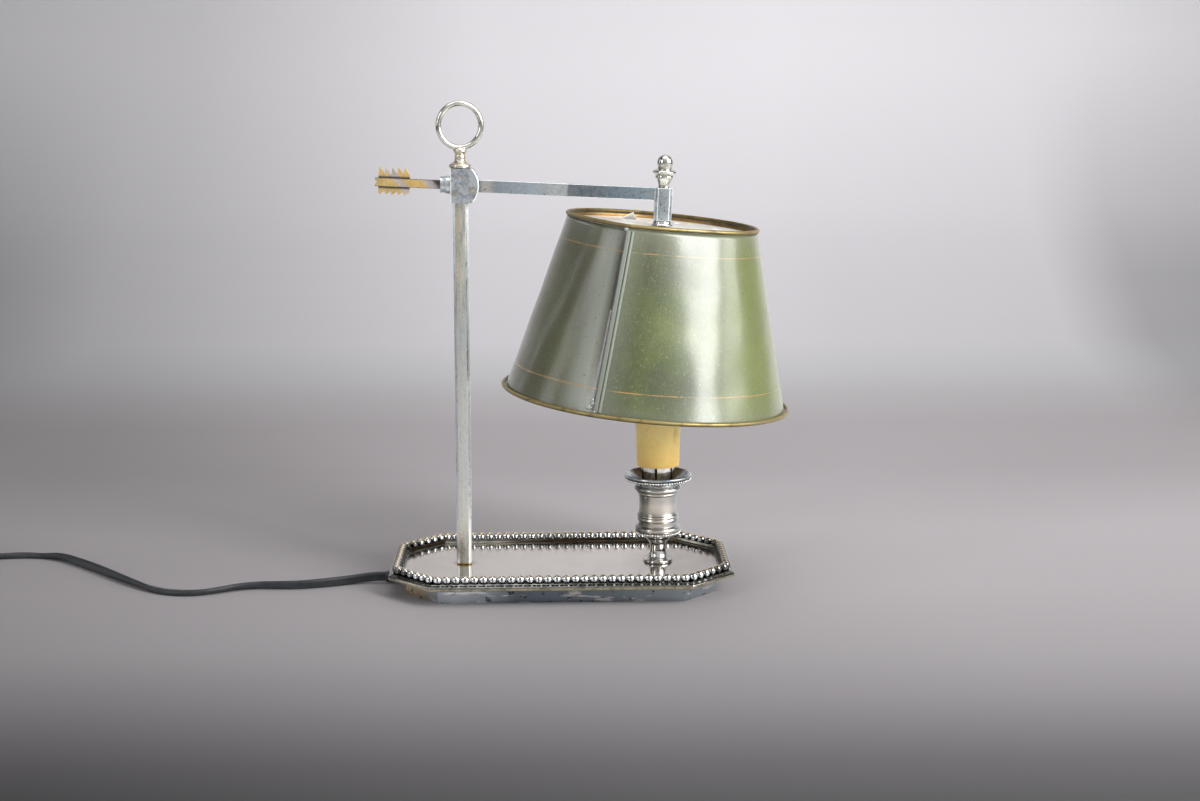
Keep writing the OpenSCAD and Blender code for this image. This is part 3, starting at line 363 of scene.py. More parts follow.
def aged_plate(name, clean, stain, ground="c39a52", where=Matrix(), stretch=(1, 1, 1), blot_mm=14,
               blots=(0.46, 0.66), wear=None, gloss=(0.13, 0.34), hollow_shade_mm=2.5, ripple=0.12, along=(),
               across=None, spots=None, neighbour_shade=False, metallic=1.0):
    """Silver plate on brass, polished by hand for years: bright faces, blue-grey sulphide stains in blots,
    brass where edges have rubbed through, dark polish and painted shade in the grooves, painted shade beside
    neighbouring parts when asked, and fine wiping scratches."""
    material, tree, bsdf = new_material(name, Metallic=metallic)
    spot = own_frame(tree, where)
    drawn = add_node(tree, "Mapping", {"Scale": stretch}, {"Vector": spot}).outputs["Vector"]
    cloud = add_node(tree, "TexNoise", {"Scale": 1000 / blot_mm, "Detail": 8, "Roughness": 0.6,
                                        "Distortion": 0.5}, {"Vector": drawn})
    colour = add_node(tree, "ValToRGB", links={"Fac": cloud.outputs["Fac"]},
                      stops=[(blots[0], clean), (blots[1], stain)])
    colour = colour.outputs["Color"]
    # bands of colour that follow the part's own length, with edges that wander: the part's tones, and on the
    # tray, cup and skirt painted shade and reflection
    wander = 2.8 * MM
    for axis, first, last, bands in along:
        parts = add_node(tree, "SeparateXYZ", links={"Vector": spot})
        shake = add_node(tree, "TexNoise", {"Scale": 1000 / 5, "Detail": 5}, {"Vector": spot})
        moved = add_node(tree, "Math", {1: wander}, {0: shake.outputs["Fac"], 2: parts.outputs[axis]},
                         operation="MULTIPLY_ADD")
        share = add_node(tree, "MapRange", {1: first * MM + wander / 2, 2: last * MM + wander / 2},
                         {0: moved.outputs[0]})
        band = add_node(tree, "ValToRGB", links={"Fac": share.outputs[0]}, stops=bands)
        colour = add_node(tree, "Mix", {0: 0.62}, {6: colour, 7: band.outputs["Color"]},
                          data_type="RGBA").outputs[2]
    # lines that run along a moulding, by the share of its section
    if across:
        shares = add_node(tree, "SeparateXYZ", links={"Vector": add_node(tree, "TexCoord").outputs["UV"]})
        lines = add_node(tree, "ValToRGB", links={"Fac": shares.outputs["Y"]}, stops=across)
        colour = add_node(tree, "Mix", {0: 1.0}, {6: colour, 7: lines.outputs["Color"]}, data_type="RGBA",
                          blend_type="MULTIPLY").outputs[2]
    # small spots of another colour
    if spots:
        tint, spot_mm, start, end = spots
        fleck = add_node(tree, "TexNoise", {"Scale": 1000 / spot_mm, "Detail": 5, "Roughness": 0.65},
                         {"Vector": spot})
        marks = add_node(tree, "MapRange", {1: start, 2: end, 3: 0.0, 4: 0.8}, {0: fleck.outputs["Fac"]})
        colour = add_node(tree, "Mix", {7: linear(tint)}, {0: marks.outputs[0], 6: colour},
                          data_type="RGBA").outputs[2]
    # brass on the worn edges, in broken lines
    if wear:
        shape = add_node(tree, "NewGeometry")
        edge = add_node(tree, "MapRange", {1: wear[0], 2: wear[1]}, {0: shape.outputs["Pointiness"]})
        broken = add_node(tree, "TexNoise", {"Scale": 1000 / 4, "Detail": 4}, {"Vector": spot})
        rub = add_node(tree, "MapRange", {1: 0.42, 2: 0.6}, {0: broken.outputs["Fac"]})
        both = add_node(tree, "Math", links={0: edge.outputs[0], 1: rub.outputs[0]}, operation="MULTIPLY")
        colour = add_node(tree, "Mix", {7: linear(ground)}, {0: both.outputs[0], 6: colour},
                          data_type="RGBA").outputs[2]
    # dark polish and painted shade in the grooves, and painted shade beside neighbouring parts when asked
    hollow = add_node(tree, "AmbientOcclusion", {"Distance": hollow_shade_mm * MM}, samples=8,
                      only_local=not neighbour_shade)
    hollow_shade = add_node(tree, "MapRange", {1: 0.3, 2: 0.85, 3: 0.85, 4: 0.0}, {0: hollow.outputs["AO"]})
    colour = add_node(tree, "Mix", {7: linear("302e29")}, {0: hollow_shade.outputs[0], 6: colour},
                      data_type="RGBA").outputs[2]
    tree.links.new(colour, bsdf.inputs["Base Color"])
    # stains and the shaded grooves are duller than the bright faces
    dull = add_node(tree, "MapRange", {1: blots[0] - 0.04, 2: blots[1], 3: gloss[0], 4: gloss[1]},
                    {0: cloud.outputs["Fac"]})
    duller = add_node(tree, "Math", {1: 0.3}, {0: hollow_shade.outputs[0], 2: dull.outputs[0]},
                      operation="MULTIPLY_ADD")
    tree.links.new(duller.outputs[0], bsdf.inputs["Roughness"])
    # hand-worked sheet and castings are never quite flat, and the scratches are 0.3 mm apart, which is
    # coarser than real ones
    wave = add_node(tree, "TexNoise", {"Scale": 1000 / 11, "Detail": 2}, {"Vector": spot})
    scratch_at = add_node(tree, "Mapping", {"Scale": (0.12, 1, 1), "Rotation": (0.2, 0.1, 0.5)},
                          {"Vector": spot})
    scratch = add_node(tree, "TexNoise", {"Scale": 1000 / 0.6, "Detail": 2},
                       {"Vector": scratch_at.outputs["Vector"]})
    low = add_node(tree, "Bump", {"Strength": ripple, "Distance": 1.2 * MM},
                   {"Height": wave.outputs["Fac"]})
    fine = add_node(tree, "Bump", {"Strength": 0.07, "Distance": 0.06 * MM},
                    {"Height": scratch.outputs["Fac"], "Normal": low.outputs["Normal"]})
    tree.links.new(fine.outputs["Normal"], bsdf.inputs["Normal"])
    return material


def post_plate():
    """Silver plate worn thin on a drawn brass bar: a yellowed middle, an orange streak, and chamfers painted
    white as a highlight.
    """
    material, tree, bsdf = new_material("worn silver plate on the post", Metallic=1.0)
    spot = own_frame(tree, POST)
    parts = add_node(tree, "SeparateXYZ", links={"Vector": spot})
    half = 5.25 * MM
    across = add_node(tree, "MapRange", {1: -half, 2: half}, {0: parts.outputs["X"]})
    # across the bar: its own tones, and both chamfers painted white as a highlight, with a thin darker line
    # inside the left one
    band = add_node(tree, "ValToRGB", links={"Fac": across.outputs[0]},
                    stops=[(0.0, "eef2f5"), (0.15, "ffffff"), (0.2, "c6c5ba"), (0.26, "e6dfc4"),
                           (0.34, "e6cc9c"), (0.45, "eae5cc"), (0.72, "ecebdc"), (0.85, "e2e2d8"),
                           (0.9, "ffffff"), (1.0, "f0f4f6")])
    drawn = add_node(tree, "Mapping", {"Scale": (1, 1, 0.16)}, {"Vector": spot})
    cloud = add_node(tree, "TexNoise", {"Scale": 1000 / 5, "Detail": 7, "Roughness": 0.65},
                     {"Vector": drawn.outputs["Vector"]})
    # the yellow shows in the upper third and near the foot, and the plate between them is greyer
    tall = add_node(tree, "MapRange", {1: 0.0, 2: 280 * MM}, {0: parts.outputs["Z"]})
    worn = add_node(tree, "ValToRGB", links={"Fac": tall.outputs[0]},
                    stops=[(0.0, "f0f0f0"), (0.14, "c8c8c8"), (0.24, "909090"), (0.42, "a4a4a4"),
                           (0.6, "8c8c8c"), (0.72, "e0e0e0"), (1.0, "ffffff")])
    patchy = add_node(tree, "MapRange", {1: 0.38, 2: 0.6, 3: 0.35, 4: 1.0}, {0: cloud.outputs["Fac"]})
    bare = add_node(tree, "Math", links={0: patchy.outputs[0], 1: worn.outputs["Color"]},
                    operation="MULTIPLY")
    colour = add_node(tree, "Mix", {6: linear("c2c7c9")}, {0: bare.outputs[0], 7: band.outputs["Color"]},
                      data_type="RGBA")
    # a dark stain and a line of bare brass where the bar stands on the tray
    foot = add_node(tree, "MapRange", {1: 0.0, 2: 3 * MM, 3: 1.0, 4: 0.0}, {0: parts.outputs["Z"]})
    stain = add_node(tree, "ValToRGB", links={"Fac": foot.outputs[0]},
                     stops=[(0.0, "ffffff"), (0.4, "ffffff"), (0.7, "e2c488"), (0.94, "a08452")])
    colour = add_node(tree, "Mix", {0: 1.0}, {6: colour.outputs[2], 7: stain.outputs["Color"]},
                      data_type="RGBA", blend_type="MULTIPLY")
    speck = add_node(tree, "TexNoise", {"Scale": 1000 / 0.9, "Detail": 3}, {"Vector": spot})
    spots = add_node(tree, "MapRange", {1: 0.6, 2: 0.7, 3: 0.0, 4: 0.7}, {0: speck.outputs["Fac"]})
    colour = add_node(tree, "Mix", {7: linear("6f6047")}, {0: spots.outputs[0], 6: colour.outputs[2]},
                      data_type="RGBA")
    tree.links.new(colour.outputs[2], bsdf.inputs["Base Color"])
    # the right chamfer mirrors less, so the painted white highlight on it shows
    bloom = add_node(tree, "MapRange", {1: 3.7 * MM, 2: 4.3 * MM, 3: 1.0, 4: 0.45}, {0: parts.outputs["X"]})
    tree.links.new(bloom.outputs[0], bsdf.inputs["Metallic"])
    dull = add_node(tree, "MapRange", {1: 0.35, 2: 0.65, 3: 0.2, 4: 0.4}, {0: cloud.outputs["Fac"]})
    tree.links.new(dull.outputs[0], bsdf.inputs["Roughness"])
    grain = add_node(tree, "Bump", {"Strength": 0.12, "Distance": 0.2 * MM},
                     {"Height": cloud.outputs["Fac"]})
    tree.links.new(grain.outputs["Normal"], bsdf.inputs["Normal"])
    return material


def bead_plate():
    """Silver plate on cast brass beads: flanks left bright as a painted highlight, middles painted dark as a
    painted reflection, brass on the rubbed tops, and black polish with painted shade between.
    """
    material, tree, bsdf = new_material("silver plate worn to brass on the beads", Metallic=1.0)
    spot = own_frame(tree, Matrix())
    parts = add_node(tree, "SeparateXYZ", links={"Vector": spot})
    patch = add_node(tree, "TexNoise", {"Scale": 1000 / 16, "Detail": 5}, {"Vector": spot})
    height = add_node(tree, "Math", {1: 4.2 * MM}, {0: patch.outputs["Fac"], 2: parts.outputs["Z"]},
                      operation="MULTIPLY_ADD")
    top = add_node(tree, "MapRange", {1: 21.1 * MM, 2: 22.6 * MM}, {0: height.outputs[0]})
    rubbed = add_node(tree, "MapRange", {1: -55 * MM, 2: 50 * MM, 3: 0.45, 4: 0.85},
                      {0: parts.outputs["Y"]})
    # painted reflection: a bead's two flanks stay bright as a painted highlight, and its middle, facing
    # forward and not up, is painted dark; brass shows on its crown
    normal = add_node(tree, "NewGeometry").outputs["Normal"]
    facing = add_node(tree, "SeparateXYZ", links={"Vector": normal})
    slant = add_node(tree, "Math", links={0: facing.outputs["X"], 1: facing.outputs["Y"]},
                     operation="MULTIPLY")
    slant = add_node(tree, "Math", links={0: slant.outputs[0]}, operation="ABSOLUTE")
    middle = add_node(tree, "MapRange", {1: 0.1, 2: 0.27, 3: 0.85, 4: 0.0}, {0: slant.outputs[0]})
    below = add_node(tree, "MapRange", {1: 0.55, 2: 0.8, 3: 1.0, 4: 0.0}, {0: facing.outputs["Z"]})
    dulled = add_node(tree, "Math", links={0: middle.outputs[0], 1: below.outputs[0]}, operation="MULTIPLY")
    # painted shade, with old polish, low between the beads of the two end rows
    ends = add_node(tree, "Math", links={0: parts.outputs["X"]}, operation="ABSOLUTE")
    end_row = add_node(tree, "MapRange", {1: 100 * MM, 2: 108 * MM}, {0: ends.outputs[0]})
    end_row_shade_and_polish = add_node(tree, "MapRange", {1: 19.8 * MM, 2: 21.2 * MM, 3: 0.9, 4: 0.0},
                      {0: parts.outputs["Z"]})
    end_row_shade_and_polish = add_node(tree, "Math", links={0: end_row_shade_and_polish.outputs[0], 1: end_row.outputs[0]},
                      operation="MULTIPLY")
    brass = add_node(tree, "Math", links={0: top.outputs[0], 1: rubbed.outputs[0]}, operation="MULTIPLY")
    brass = add_node(tree, "Math", links={0: brass.outputs[0], 1: middle.outputs[0]}, operation="MULTIPLY")
    # painted shade in the hollows between the beads
    hollow = add_node(tree, "AmbientOcclusion", {"Distance": 3.2 * MM}, samples=8)
    hollow_shade = add_node(tree, "MapRange", {1: 0.4, 2: 0.8, 3: 0.97, 4: 0.0}, {0: hollow.outputs["AO"]})
    colour = add_node(tree, "Mix", {6: linear("eceeef"), 7: linear("4e5257")}, {0: dulled.outputs[0]},
                      data_type="RGBA").outputs[2]
    for tint, share in (("c6a962", brass), ("3c3b34", end_row_shade_and_polish), ("26282a", hollow_shade)):
        colour = add_node(tree, "Mix", {7: linear(tint)}, {0: share.outputs[0], 6: colour},
                          data_type="RGBA").outputs[2]
    tree.links.new(colour, bsdf.inputs["Base Color"])
    dull = add_node(tree, "MapRange", {1: 0.3, 2: 0.7, 3: 0.1, 4: 0.26}, {0: patch.outputs["Fac"]})
    tree.links.new(dull.outputs[0], bsdf.inputs["Roughness"])
    cast = add_node(tree, "TexNoise", {"Scale": 1000 / 1.6, "Detail": 2}, {"Vector": spot})
    uneven = add_node(tree, "Bump", {"Strength": 0.25, "Distance": 0.3 * MM},
                      {"Height": cast.outputs["Fac"]})
    tree.links.new(uneven.outputs["Normal"], bsdf.inputs["Normal"])
    return material


def turned_metal(name, face, shade, where=Matrix()):
    """Plain turned or pressed metal, not silvered: faint tool rings, a little oxide, a satin look."""
    material, tree, bsdf = new_material(name, Metallic=1.0)
    spot = own_frame(tree, where)
    cloud = add_node(tree, "TexNoise", {"Scale": 1000 / 6, "Detail": 6}, {"Vector": spot})
    colour = add_node(tree, "ValToRGB", links={"Fac": cloud.outputs["Fac"]},
                      stops=[(0.4, face), (0.68, shade)])
    tree.links.new(colour.outputs["Color"], bsdf.inputs["Base Color"])
    dull = add_node(tree, "MapRange", {1: 0.35, 2: 0.65, 3: 0.25, 4: 0.4},
                    {0: cloud.outputs["Fac"]})
    tree.links.new(dull.outputs[0], bsdf.inputs["Roughness"])
    ring = add_node(tree, "Mapping", {"Scale": (0.08, 0.08, 1)}, {"Vector": spot})
    tool = add_node(tree, "TexNoise", {"Scale": 1000 / 0.35, "Detail": 2},
                    {"Vector": ring.outputs["Vector"]})
    marks = add_node(tree, "Bump", {"Strength": 0.15, "Distance": 0.08 * MM},
                     {"Height": tool.outputs["Fac"]})
    tree.links.new(marks.outputs["Normal"], bsdf.inputs["Normal"])
    return material


def arrow_gilt():
    """Cast brass, once silvered: warm gold where the plate has gone, pinkish silver where some is left."""
    material, tree, bsdf = new_material("gilt brass on the arrow", Metallic=0.75)
    spot = own_frame(tree, ARM)
    parts = add_node(tree, "SeparateXYZ", links={"Vector": spot})
    patch = add_node(tree, "TexNoise", {"Scale": 1000 / 7, "Detail": 6, "Roughness": 0.6}, {"Vector": spot})
    # the left-over plate runs across the shaft on a slant, next to the boss
    slant = add_node(tree, "Math", {1: 0.9}, {0: parts.outputs["Z"], 2: parts.outputs["X"]},
                     operation="MULTIPLY_ADD")
    moved = add_node(tree, "Math", {1: 6 * MM}, {0: patch.outputs["Fac"], 2: slant.outputs[0]},
                     operation="MULTIPLY_ADD")
    share = add_node(tree, "MapRange", {1: -55.5 * MM, 2: -10.5 * MM}, {0: moved.outputs[0]})
    colour = add_node(tree, "ValToRGB", links={"Fac": share.outputs[0]},
                      stops=[(0.0, "e6c98c"), (0.3, "ecca86"), (0.34, "ded2c8"), (0.44, "d9cabb"),
                             (0.48, "ecca86"), (0.75, "f2cd84"), (0.79, "d9cec8"), (0.91, "bcb3ae"),
                             (0.97, "5a5049")]).outputs["Color"]
    # painted shade, with some old polish, along the line where the vanes meet the proud shank
    away = add_node(tree, "Math", links={0: parts.outputs["Z"]}, operation="ABSOLUTE")
    inner = add_node(tree, "MapRange", {1: 2.3 * MM, 2: 2.9 * MM}, {0: away.outputs[0]})
    outer = add_node(tree, "MapRange", {1: 3.4 * MM, 2: 4.6 * MM, 3: 0.85, 4: 0.0}, {0: away.outputs[0]})
    line = add_node(tree, "Math", links={0: inner.outputs[0], 1: outer.outputs[0]}, operation="MULTIPLY")
    # painted shade in the arrow's hollows
    hollow = add_node(tree, "AmbientOcclusion", {"Distance": 2.6 * MM}, samples=8)
    hollow_shade = add_node(tree, "MapRange", {1: 0.35, 2: 0.88, 3: 0.95, 4: 0.0}, {0: hollow.outputs["AO"]})
    for tint, share in (("4a505c", line), ("2e3036", hollow_shade)):
        colour = add_node(tree, "Mix", {7: linear(tint)}, {0: share.outputs[0], 6: colour},
                          data_type="RGBA").outputs[2]
    tree.links.new(colour, bsdf.inputs["Base Color"])
    dull = add_node(tree, "MapRange", {1: 0.35, 2: 0.65, 3: 0.2, 4: 0.38}, {0: patch.outputs["Fac"]})
    tree.links.new(dull.outputs[0], bsdf.inputs["Roughness"])
    cast = add_node(tree, "Bump", {"Strength": 0.2, "Distance": 0.4 * MM}, {"Height": patch.outputs["Fac"]})
    tree.links.new(cast.outputs["Normal"], bsdf.inputs["Normal"])
    return material


def tole_paint():
    """Old stove enamel on tinplate: olive green, glossy under a haze, greyed round the shade and at both
    rims, pitted and specked with dust, with two broken gold pinstripes. Painted light and shade too: paler
    toward the tall window light, painted shade on the flank left of the seam, a painted highlight beside the
    seam and a painted shadow in its crease."""
    material, tree, bsdf = new_material("green stove enamel", Coat_Weight=1.0, Coat_Roughness=0.21)
    place = add_node(tree, "TexCoord")
    spot = own_frame(tree, SHADE)
    shares = add_node(tree, "SeparateXYZ", links={"Vector": place.outputs["UV"]})
    around, down = shares.outputs["X"], shares.outputs["Y"]
    cloud = add_node(tree, "TexNoise", {"Scale": 1000 / 38, "Detail": 8, "Roughness": 0.58},
                     {"Vector": spot})
    colour = add_node(tree, "ValToRGB", links={"Fac": cloud.outputs["Fac"]},
                      stops=[(0.3, "363d22"), (0.5, "434f1e"), (0.7, "57622b")]).outputs["Color"]
    # how far the paint is greyed round the shade, the seam at 0 and at 1: greyed paint, and painted shade
    # on the flank left of the seam
    turn = add_node(tree, "TexNoise", {"Scale": 1000 / 22, "Detail": 6}, {"Vector": spot})
    drift = add_node(tree, "Math", {1: 0.05}, {0: turn.outputs["Fac"], 2: around}, operation="MULTIPLY_ADD")
    grey = add_node(tree, "ValToRGB", links={"Fac": drift.outputs[0]},
                    stops=[(0.0, "909090"), (0.06, "787878"), (0.11, "161616"), (0.2, "101010"),
                           (0.28, "606060"), (0.62, "606060"), (0.86, "c0c0c0"), (0.97, "b0b0b0"),
                           (1.0, "dcdcdc")])
    # painted light: paler on the side that faces the tall window light
    lit_side = add_node(tree, "ValToRGB", links={"Fac": drift.outputs[0]},
                     stops=[(0.14, "000000"), (0.2, "bcbcbc"), (0.36, "bcbcbc"), (0.46, "000000")])
    # a painted highlight: a paler strip beside the seam
    thin = add_node(tree, "ValToRGB", links={"Fac": around},
                    stops=[(0.0, "989898"), (0.01, "7c7c7c"), (0.035, "000000"), (0.95, "000000"),
                           (0.97, "c8c8c8"), (0.985, "d6d6d6"), (0.993, "707070")])
    # a painted shadow: a dark line in the crease beside the seam
    crease_shadow = add_node(tree, "MapRange", {1: 0.993, 2: 0.9975, 3: 0.0, 4: 0.92}, {0: around})
    # greyed at both rims too
    sink = add_node(tree, "Math", {1: 0.07}, {0: turn.outputs["Fac"], 2: down}, operation="MULTIPLY_ADD")
    rims = add_node(tree, "ValToRGB", links={"Fac": sink.outputs[0]},
                    stops=[(0.03, "d0d0d0"), (0.11, "8a8a8a"), (0.2, "000000"), (0.86, "000000"),
                           (0.96, "707070"), (1.02, "a8a8a8")])
    for tint, share in (("544b3c", grey.outputs["Color"]), ("777e4a", lit_side.outputs["Color"]),
                        ("a3aa9e", thin.outputs["Color"]), ("2a2822", crease_shadow.outputs[0]),
                        ("6b6d5c", rims.outputs["Color"])):
        colour = add_node(tree, "Mix", {7: linear(tint)}, {0: share, 6: colour},
                          data_type="RGBA").outputs[2]
    # pinstripes about 1 mm wide, drawn by hand and rubbed away in places
    sway = add_node(tree, "TexNoise", {"Scale": 5, "Detail": 2}, {"Vector": place.outputs["UV"]})
    line = add_node(tree, "Math", {1: 0.03}, {0: sway.outputs["Fac"], 2: down}, operation="MULTIPLY_ADD")
    gap_at = add_node(tree, "Mapping", {"Scale": (1, 0.25, 1)}, {"Vector": place.outputs["UV"]})
    gaps = add_node(tree, "TexNoise", {"Scale": 26, "Detail": 6, "Roughness": 0.75},
                    {"Vector": gap_at.outputs["Vector"]})
    paint = add_node(tree, "MapRange", {1: 0.42, 2: 0.6, 3: 0.1, 4: 0.85}, {0: gaps.outputs["Fac"]})
    brush = add_node(tree, "ValToRGB", links={"Fac": around},
                     stops=[(0.0, "bcbcbc"), (0.3, "b0b0b0"), (0.8, "bcbcbc"), (0.9, "f0f0f0"),
                            (0.97, "ffffff")])
    # each lies at a share of the height, and half its width is a share too
    for level, half in ((0.139, 0.0042), (0.866, 0.0052)):
        off = add_node(tree, "Math", {1: level}, {0: line.outputs[0]}, operation="SUBTRACT")
        near = add_node(tree, "Math", links={0: off.outputs[0]}, operation="ABSOLUTE")
        wide = add_node(tree, "Math", links={0: near.outputs[0], 1: brush.outputs["Color"]},
                        operation="DIVIDE")
        stripe = add_node(tree, "MapRange", {1: half * 0.6, 2: half * 1.3, 3: 1.0, 4: 0.0},
                          {0: wide.outputs[0]})
        mark = add_node(tree, "Math", links={0: stripe.outputs[0], 1: paint.outputs[0]},
                        operation="MULTIPLY")
        colour = add_node(tree, "Mix", {7: linear("b8894a")}, {0: mark.outputs[0], 6: colour},
                          data_type="RGBA").outputs[2]
    # pits of 0.8 mm and specks of dust
    pit = add_node(tree, "TexVoronoi", {"Scale": 1000 / 4.6, "Randomness": 1.0}, {"Vector": spot})
    pits = add_node(tree, "MapRange", {1: 0.06, 2: 0.14, 3: 0.8, 4: 0.0}, {0: pit.outputs["Distance"]})
    dust = add_node(tree, "TexNoise", {"Scale": 1000 / 1.1, "Detail": 4, "Roughness": 0.7},
                    {"Vector": spot})
    specks = add_node(tree, "MapRange", {1: 0.6, 2: 0.72, 3: 0.0, 4: 0.6}, {0: dust.outputs["Fac"]})
    # fine pale wiping marks, mostly upright
    wiped_at = add_node(tree, "Mapping", {"Scale": (1, 1, 0.1), "Rotation": (0.08, 0, 0)}, {"Vector": spot})
    wiped = add_node(tree, "TexNoise", {"Scale": 1000 / 1.6, "Detail": 3},
                     {"Vector": wiped_at.outputs["Vector"]})
    wipes = add_node(tree, "MapRange", {1: 0.56, 2: 0.74, 3: 0.0, 4: 0.12}, {0: wiped.outputs["Fac"]})
    for tint, share in (("262819", pits), ("aab09a", specks), ("8f9682", wipes)):
        colour = add_node(tree, "Mix", {7: linear(tint)}, {0: share.outputs[0], 6: colour},
                          data_type="RGBA").outputs[2]
    tree.links.new(colour, bsdf.inputs["Base Color"])
    rough = add_node(tree, "MapRange", {1: 0.3, 2: 0.75, 3: 0.36, 4: 0.5}, {0: turn.outputs["Fac"]})
    tree.links.new(rough.outputs[0], bsdf.inputs["Roughness"])
    skin = add_node(tree, "Bump", {"Strength": 0.5, "Distance": 0.3 * MM}, {"Height": dust.outputs["Fac"]})
    dent = add_node(tree, "Bump", {"Strength": 0.14, "Distance": 1.5 * MM},
                    {"Height": turn.outputs["Fac"], "Normal": skin.outputs["Normal"]})
    tree.links.new(dent.outputs["Normal"], bsdf.inputs["Normal"])
    return material


def seam_paint():
    """The same enamel rubbed nearly bare on the folded seam: grey tin on its ridges, green in its groove."""
    material, tree, bsdf = new_material("rubbed enamel on the seam", Coat_Weight=0.4, Coat_Roughness=0.3)
    place = add_node(tree, "TexCoord")
    spot = own_frame(tree, SHADE)
    patch = add_node(tree, "TexNoise", {"Scale": 1000 / 3, "Detail": 6}, {"Vector": spot})
    shares = add_node(tree, "SeparateXYZ", links={"Vector": place.outputs["UV"]})
    moved = add_node(tree, "Math", {1: 0.05}, {0: patch.outputs["Fac"], 2: shares.outputs["X"]},
                     operation="MULTIPLY_ADD")
    colour = add_node(tree, "ValToRGB", links={"Fac": moved.outputs[0]},
                      stops=[(0.12, "2f2e27"), (0.2, "7d8279"), (0.33, "6f766c"), (0.42, "474e3d"),
                             (0.48, "515d3b"), (0.57, "4f5a3c"), (0.64, "8a9087"), (0.76, "7a8076"),
                             (0.86, "41463a")])
    tree.links.new(colour.outputs["Color"], bsdf.inputs["Base Color"])
    dull = add_node(tree, "MapRange", {1: 0.3, 2: 0.7, 3: 0.34, 4: 0.5}, {0: patch.outputs["Fac"]})
    tree.links.new(dull.outputs[0], bsdf.inputs["Roughness"])
    skin = add_node(tree, "Bump", {"Strength": 0.2, "Distance": 0.2 * MM}, {"Height": patch.outputs["Fac"]})
    tree.links.new(skin.outputs["Normal"], bsdf.inputs["Normal"])
    return material


def gold_paint(name, gold, bare, wear, edges=None):
    """Bronze powder paint on tin wire: dull gold, rubbed to dark metal in places, with painted shade in its
    hollows.
    """
    material, tree, bsdf = new_material(name, Metallic=0.6)
    spot = own_frame(tree, SHADE)
    patch = add_node(tree, "TexNoise", {"Scale": 1000 / 9, "Detail": 8, "Roughness": 0.68},
                     {"Vector": spot})
    colour = add_node(tree, "ValToRGB", links={"Fac": patch.outputs["Fac"]},
                      stops=[(0.3, gold), (wear, gold), (wear + 0.17, bare), (0.9, "2e281c")])
    # round the wire: gold stays on its outer and upper side and it is dark below, partly worn gold and partly
    # painted shade under the wire
    if edges:
        shares = add_node(tree, "SeparateXYZ", links={"Vector": add_node(tree, "TexCoord").outputs["UV"]})
        turn = add_node(tree, "Math", {1: 0.06}, {0: patch.outputs["Fac"], 2: shares.outputs["Y"]},
                        operation="MULTIPLY_ADD")
        side = add_node(tree, "ValToRGB", links={"Fac": turn.outputs[0]}, stops=edges)
        colour = add_node(tree, "Mix", {0: 1.0}, {6: colour.outputs["Color"], 7: side.outputs["Color"]},
                          data_type="RGBA", blend_type="MULTIPLY")
    colour = colour.outputs[2 if edges else "Color"]
    # painted shade in the hollows
    hollow = add_node(tree, "AmbientOcclusion", {"Distance": 2 * MM}, samples=6)
    hollow_shade = add_node(tree, "MapRange", {1: 0.3, 2: 0.75, 3: 0.85, 4: 0.0}, {0: hollow.outputs["AO"]})
    mixed = add_node(tree, "Mix", {7: linear("2e2a1e")}, {0: hollow_shade.outputs[0], 6: colour}, data_type="RGBA")
    tree.links.new(mixed.outputs[2], bsdf.inputs["Base Color"])
    dull = add_node(tree, "MapRange", {1: 0.3, 2: 0.7, 3: 0.3, 4: 0.55}, {0: patch.outputs["Fac"]})
    tree.links.new(dull.outputs[0], bsdf.inputs["Roughness"])
    lumps = add_node(tree, "Bump", {"Strength": 0.25, "Distance": 0.5 * MM},
                     {"Height": patch.outputs["Fac"]})
    tree.links.new(lumps.outputs["Normal"], bsdf.inputs["Normal"])
    return material


def solder():
    """Soft solder, run on by hand: pale grey, lumpy and dull."""
    material, tree, bsdf = new_material("soft solder", Metallic=0.55)
    spot = own_frame(tree, SHADE)
    lump = add_node(tree, "TexNoise", {"Scale": 1000 / 1.5, "Detail": 5}, {"Vector": spot})
    colour = add_node(tree, "ValToRGB", links={"Fac": lump.outputs["Fac"]},
                      stops=[(0.35, "7f857f"), (0.6, "c4c8c0")])
    tree.links.new(colour.outputs["Color"], bsdf.inputs["Base Color"])
    bsdf.inputs["Roughness"].default_value = 0.42
    bump = add_node(tree, "Bump", {"Strength": 0.5, "Distance": 0.4 * MM}, {"Height": lump.outputs["Fac"]})
    tree.links.new(bump.outputs["Normal"], bsdf.inputs["Normal"])
    return material


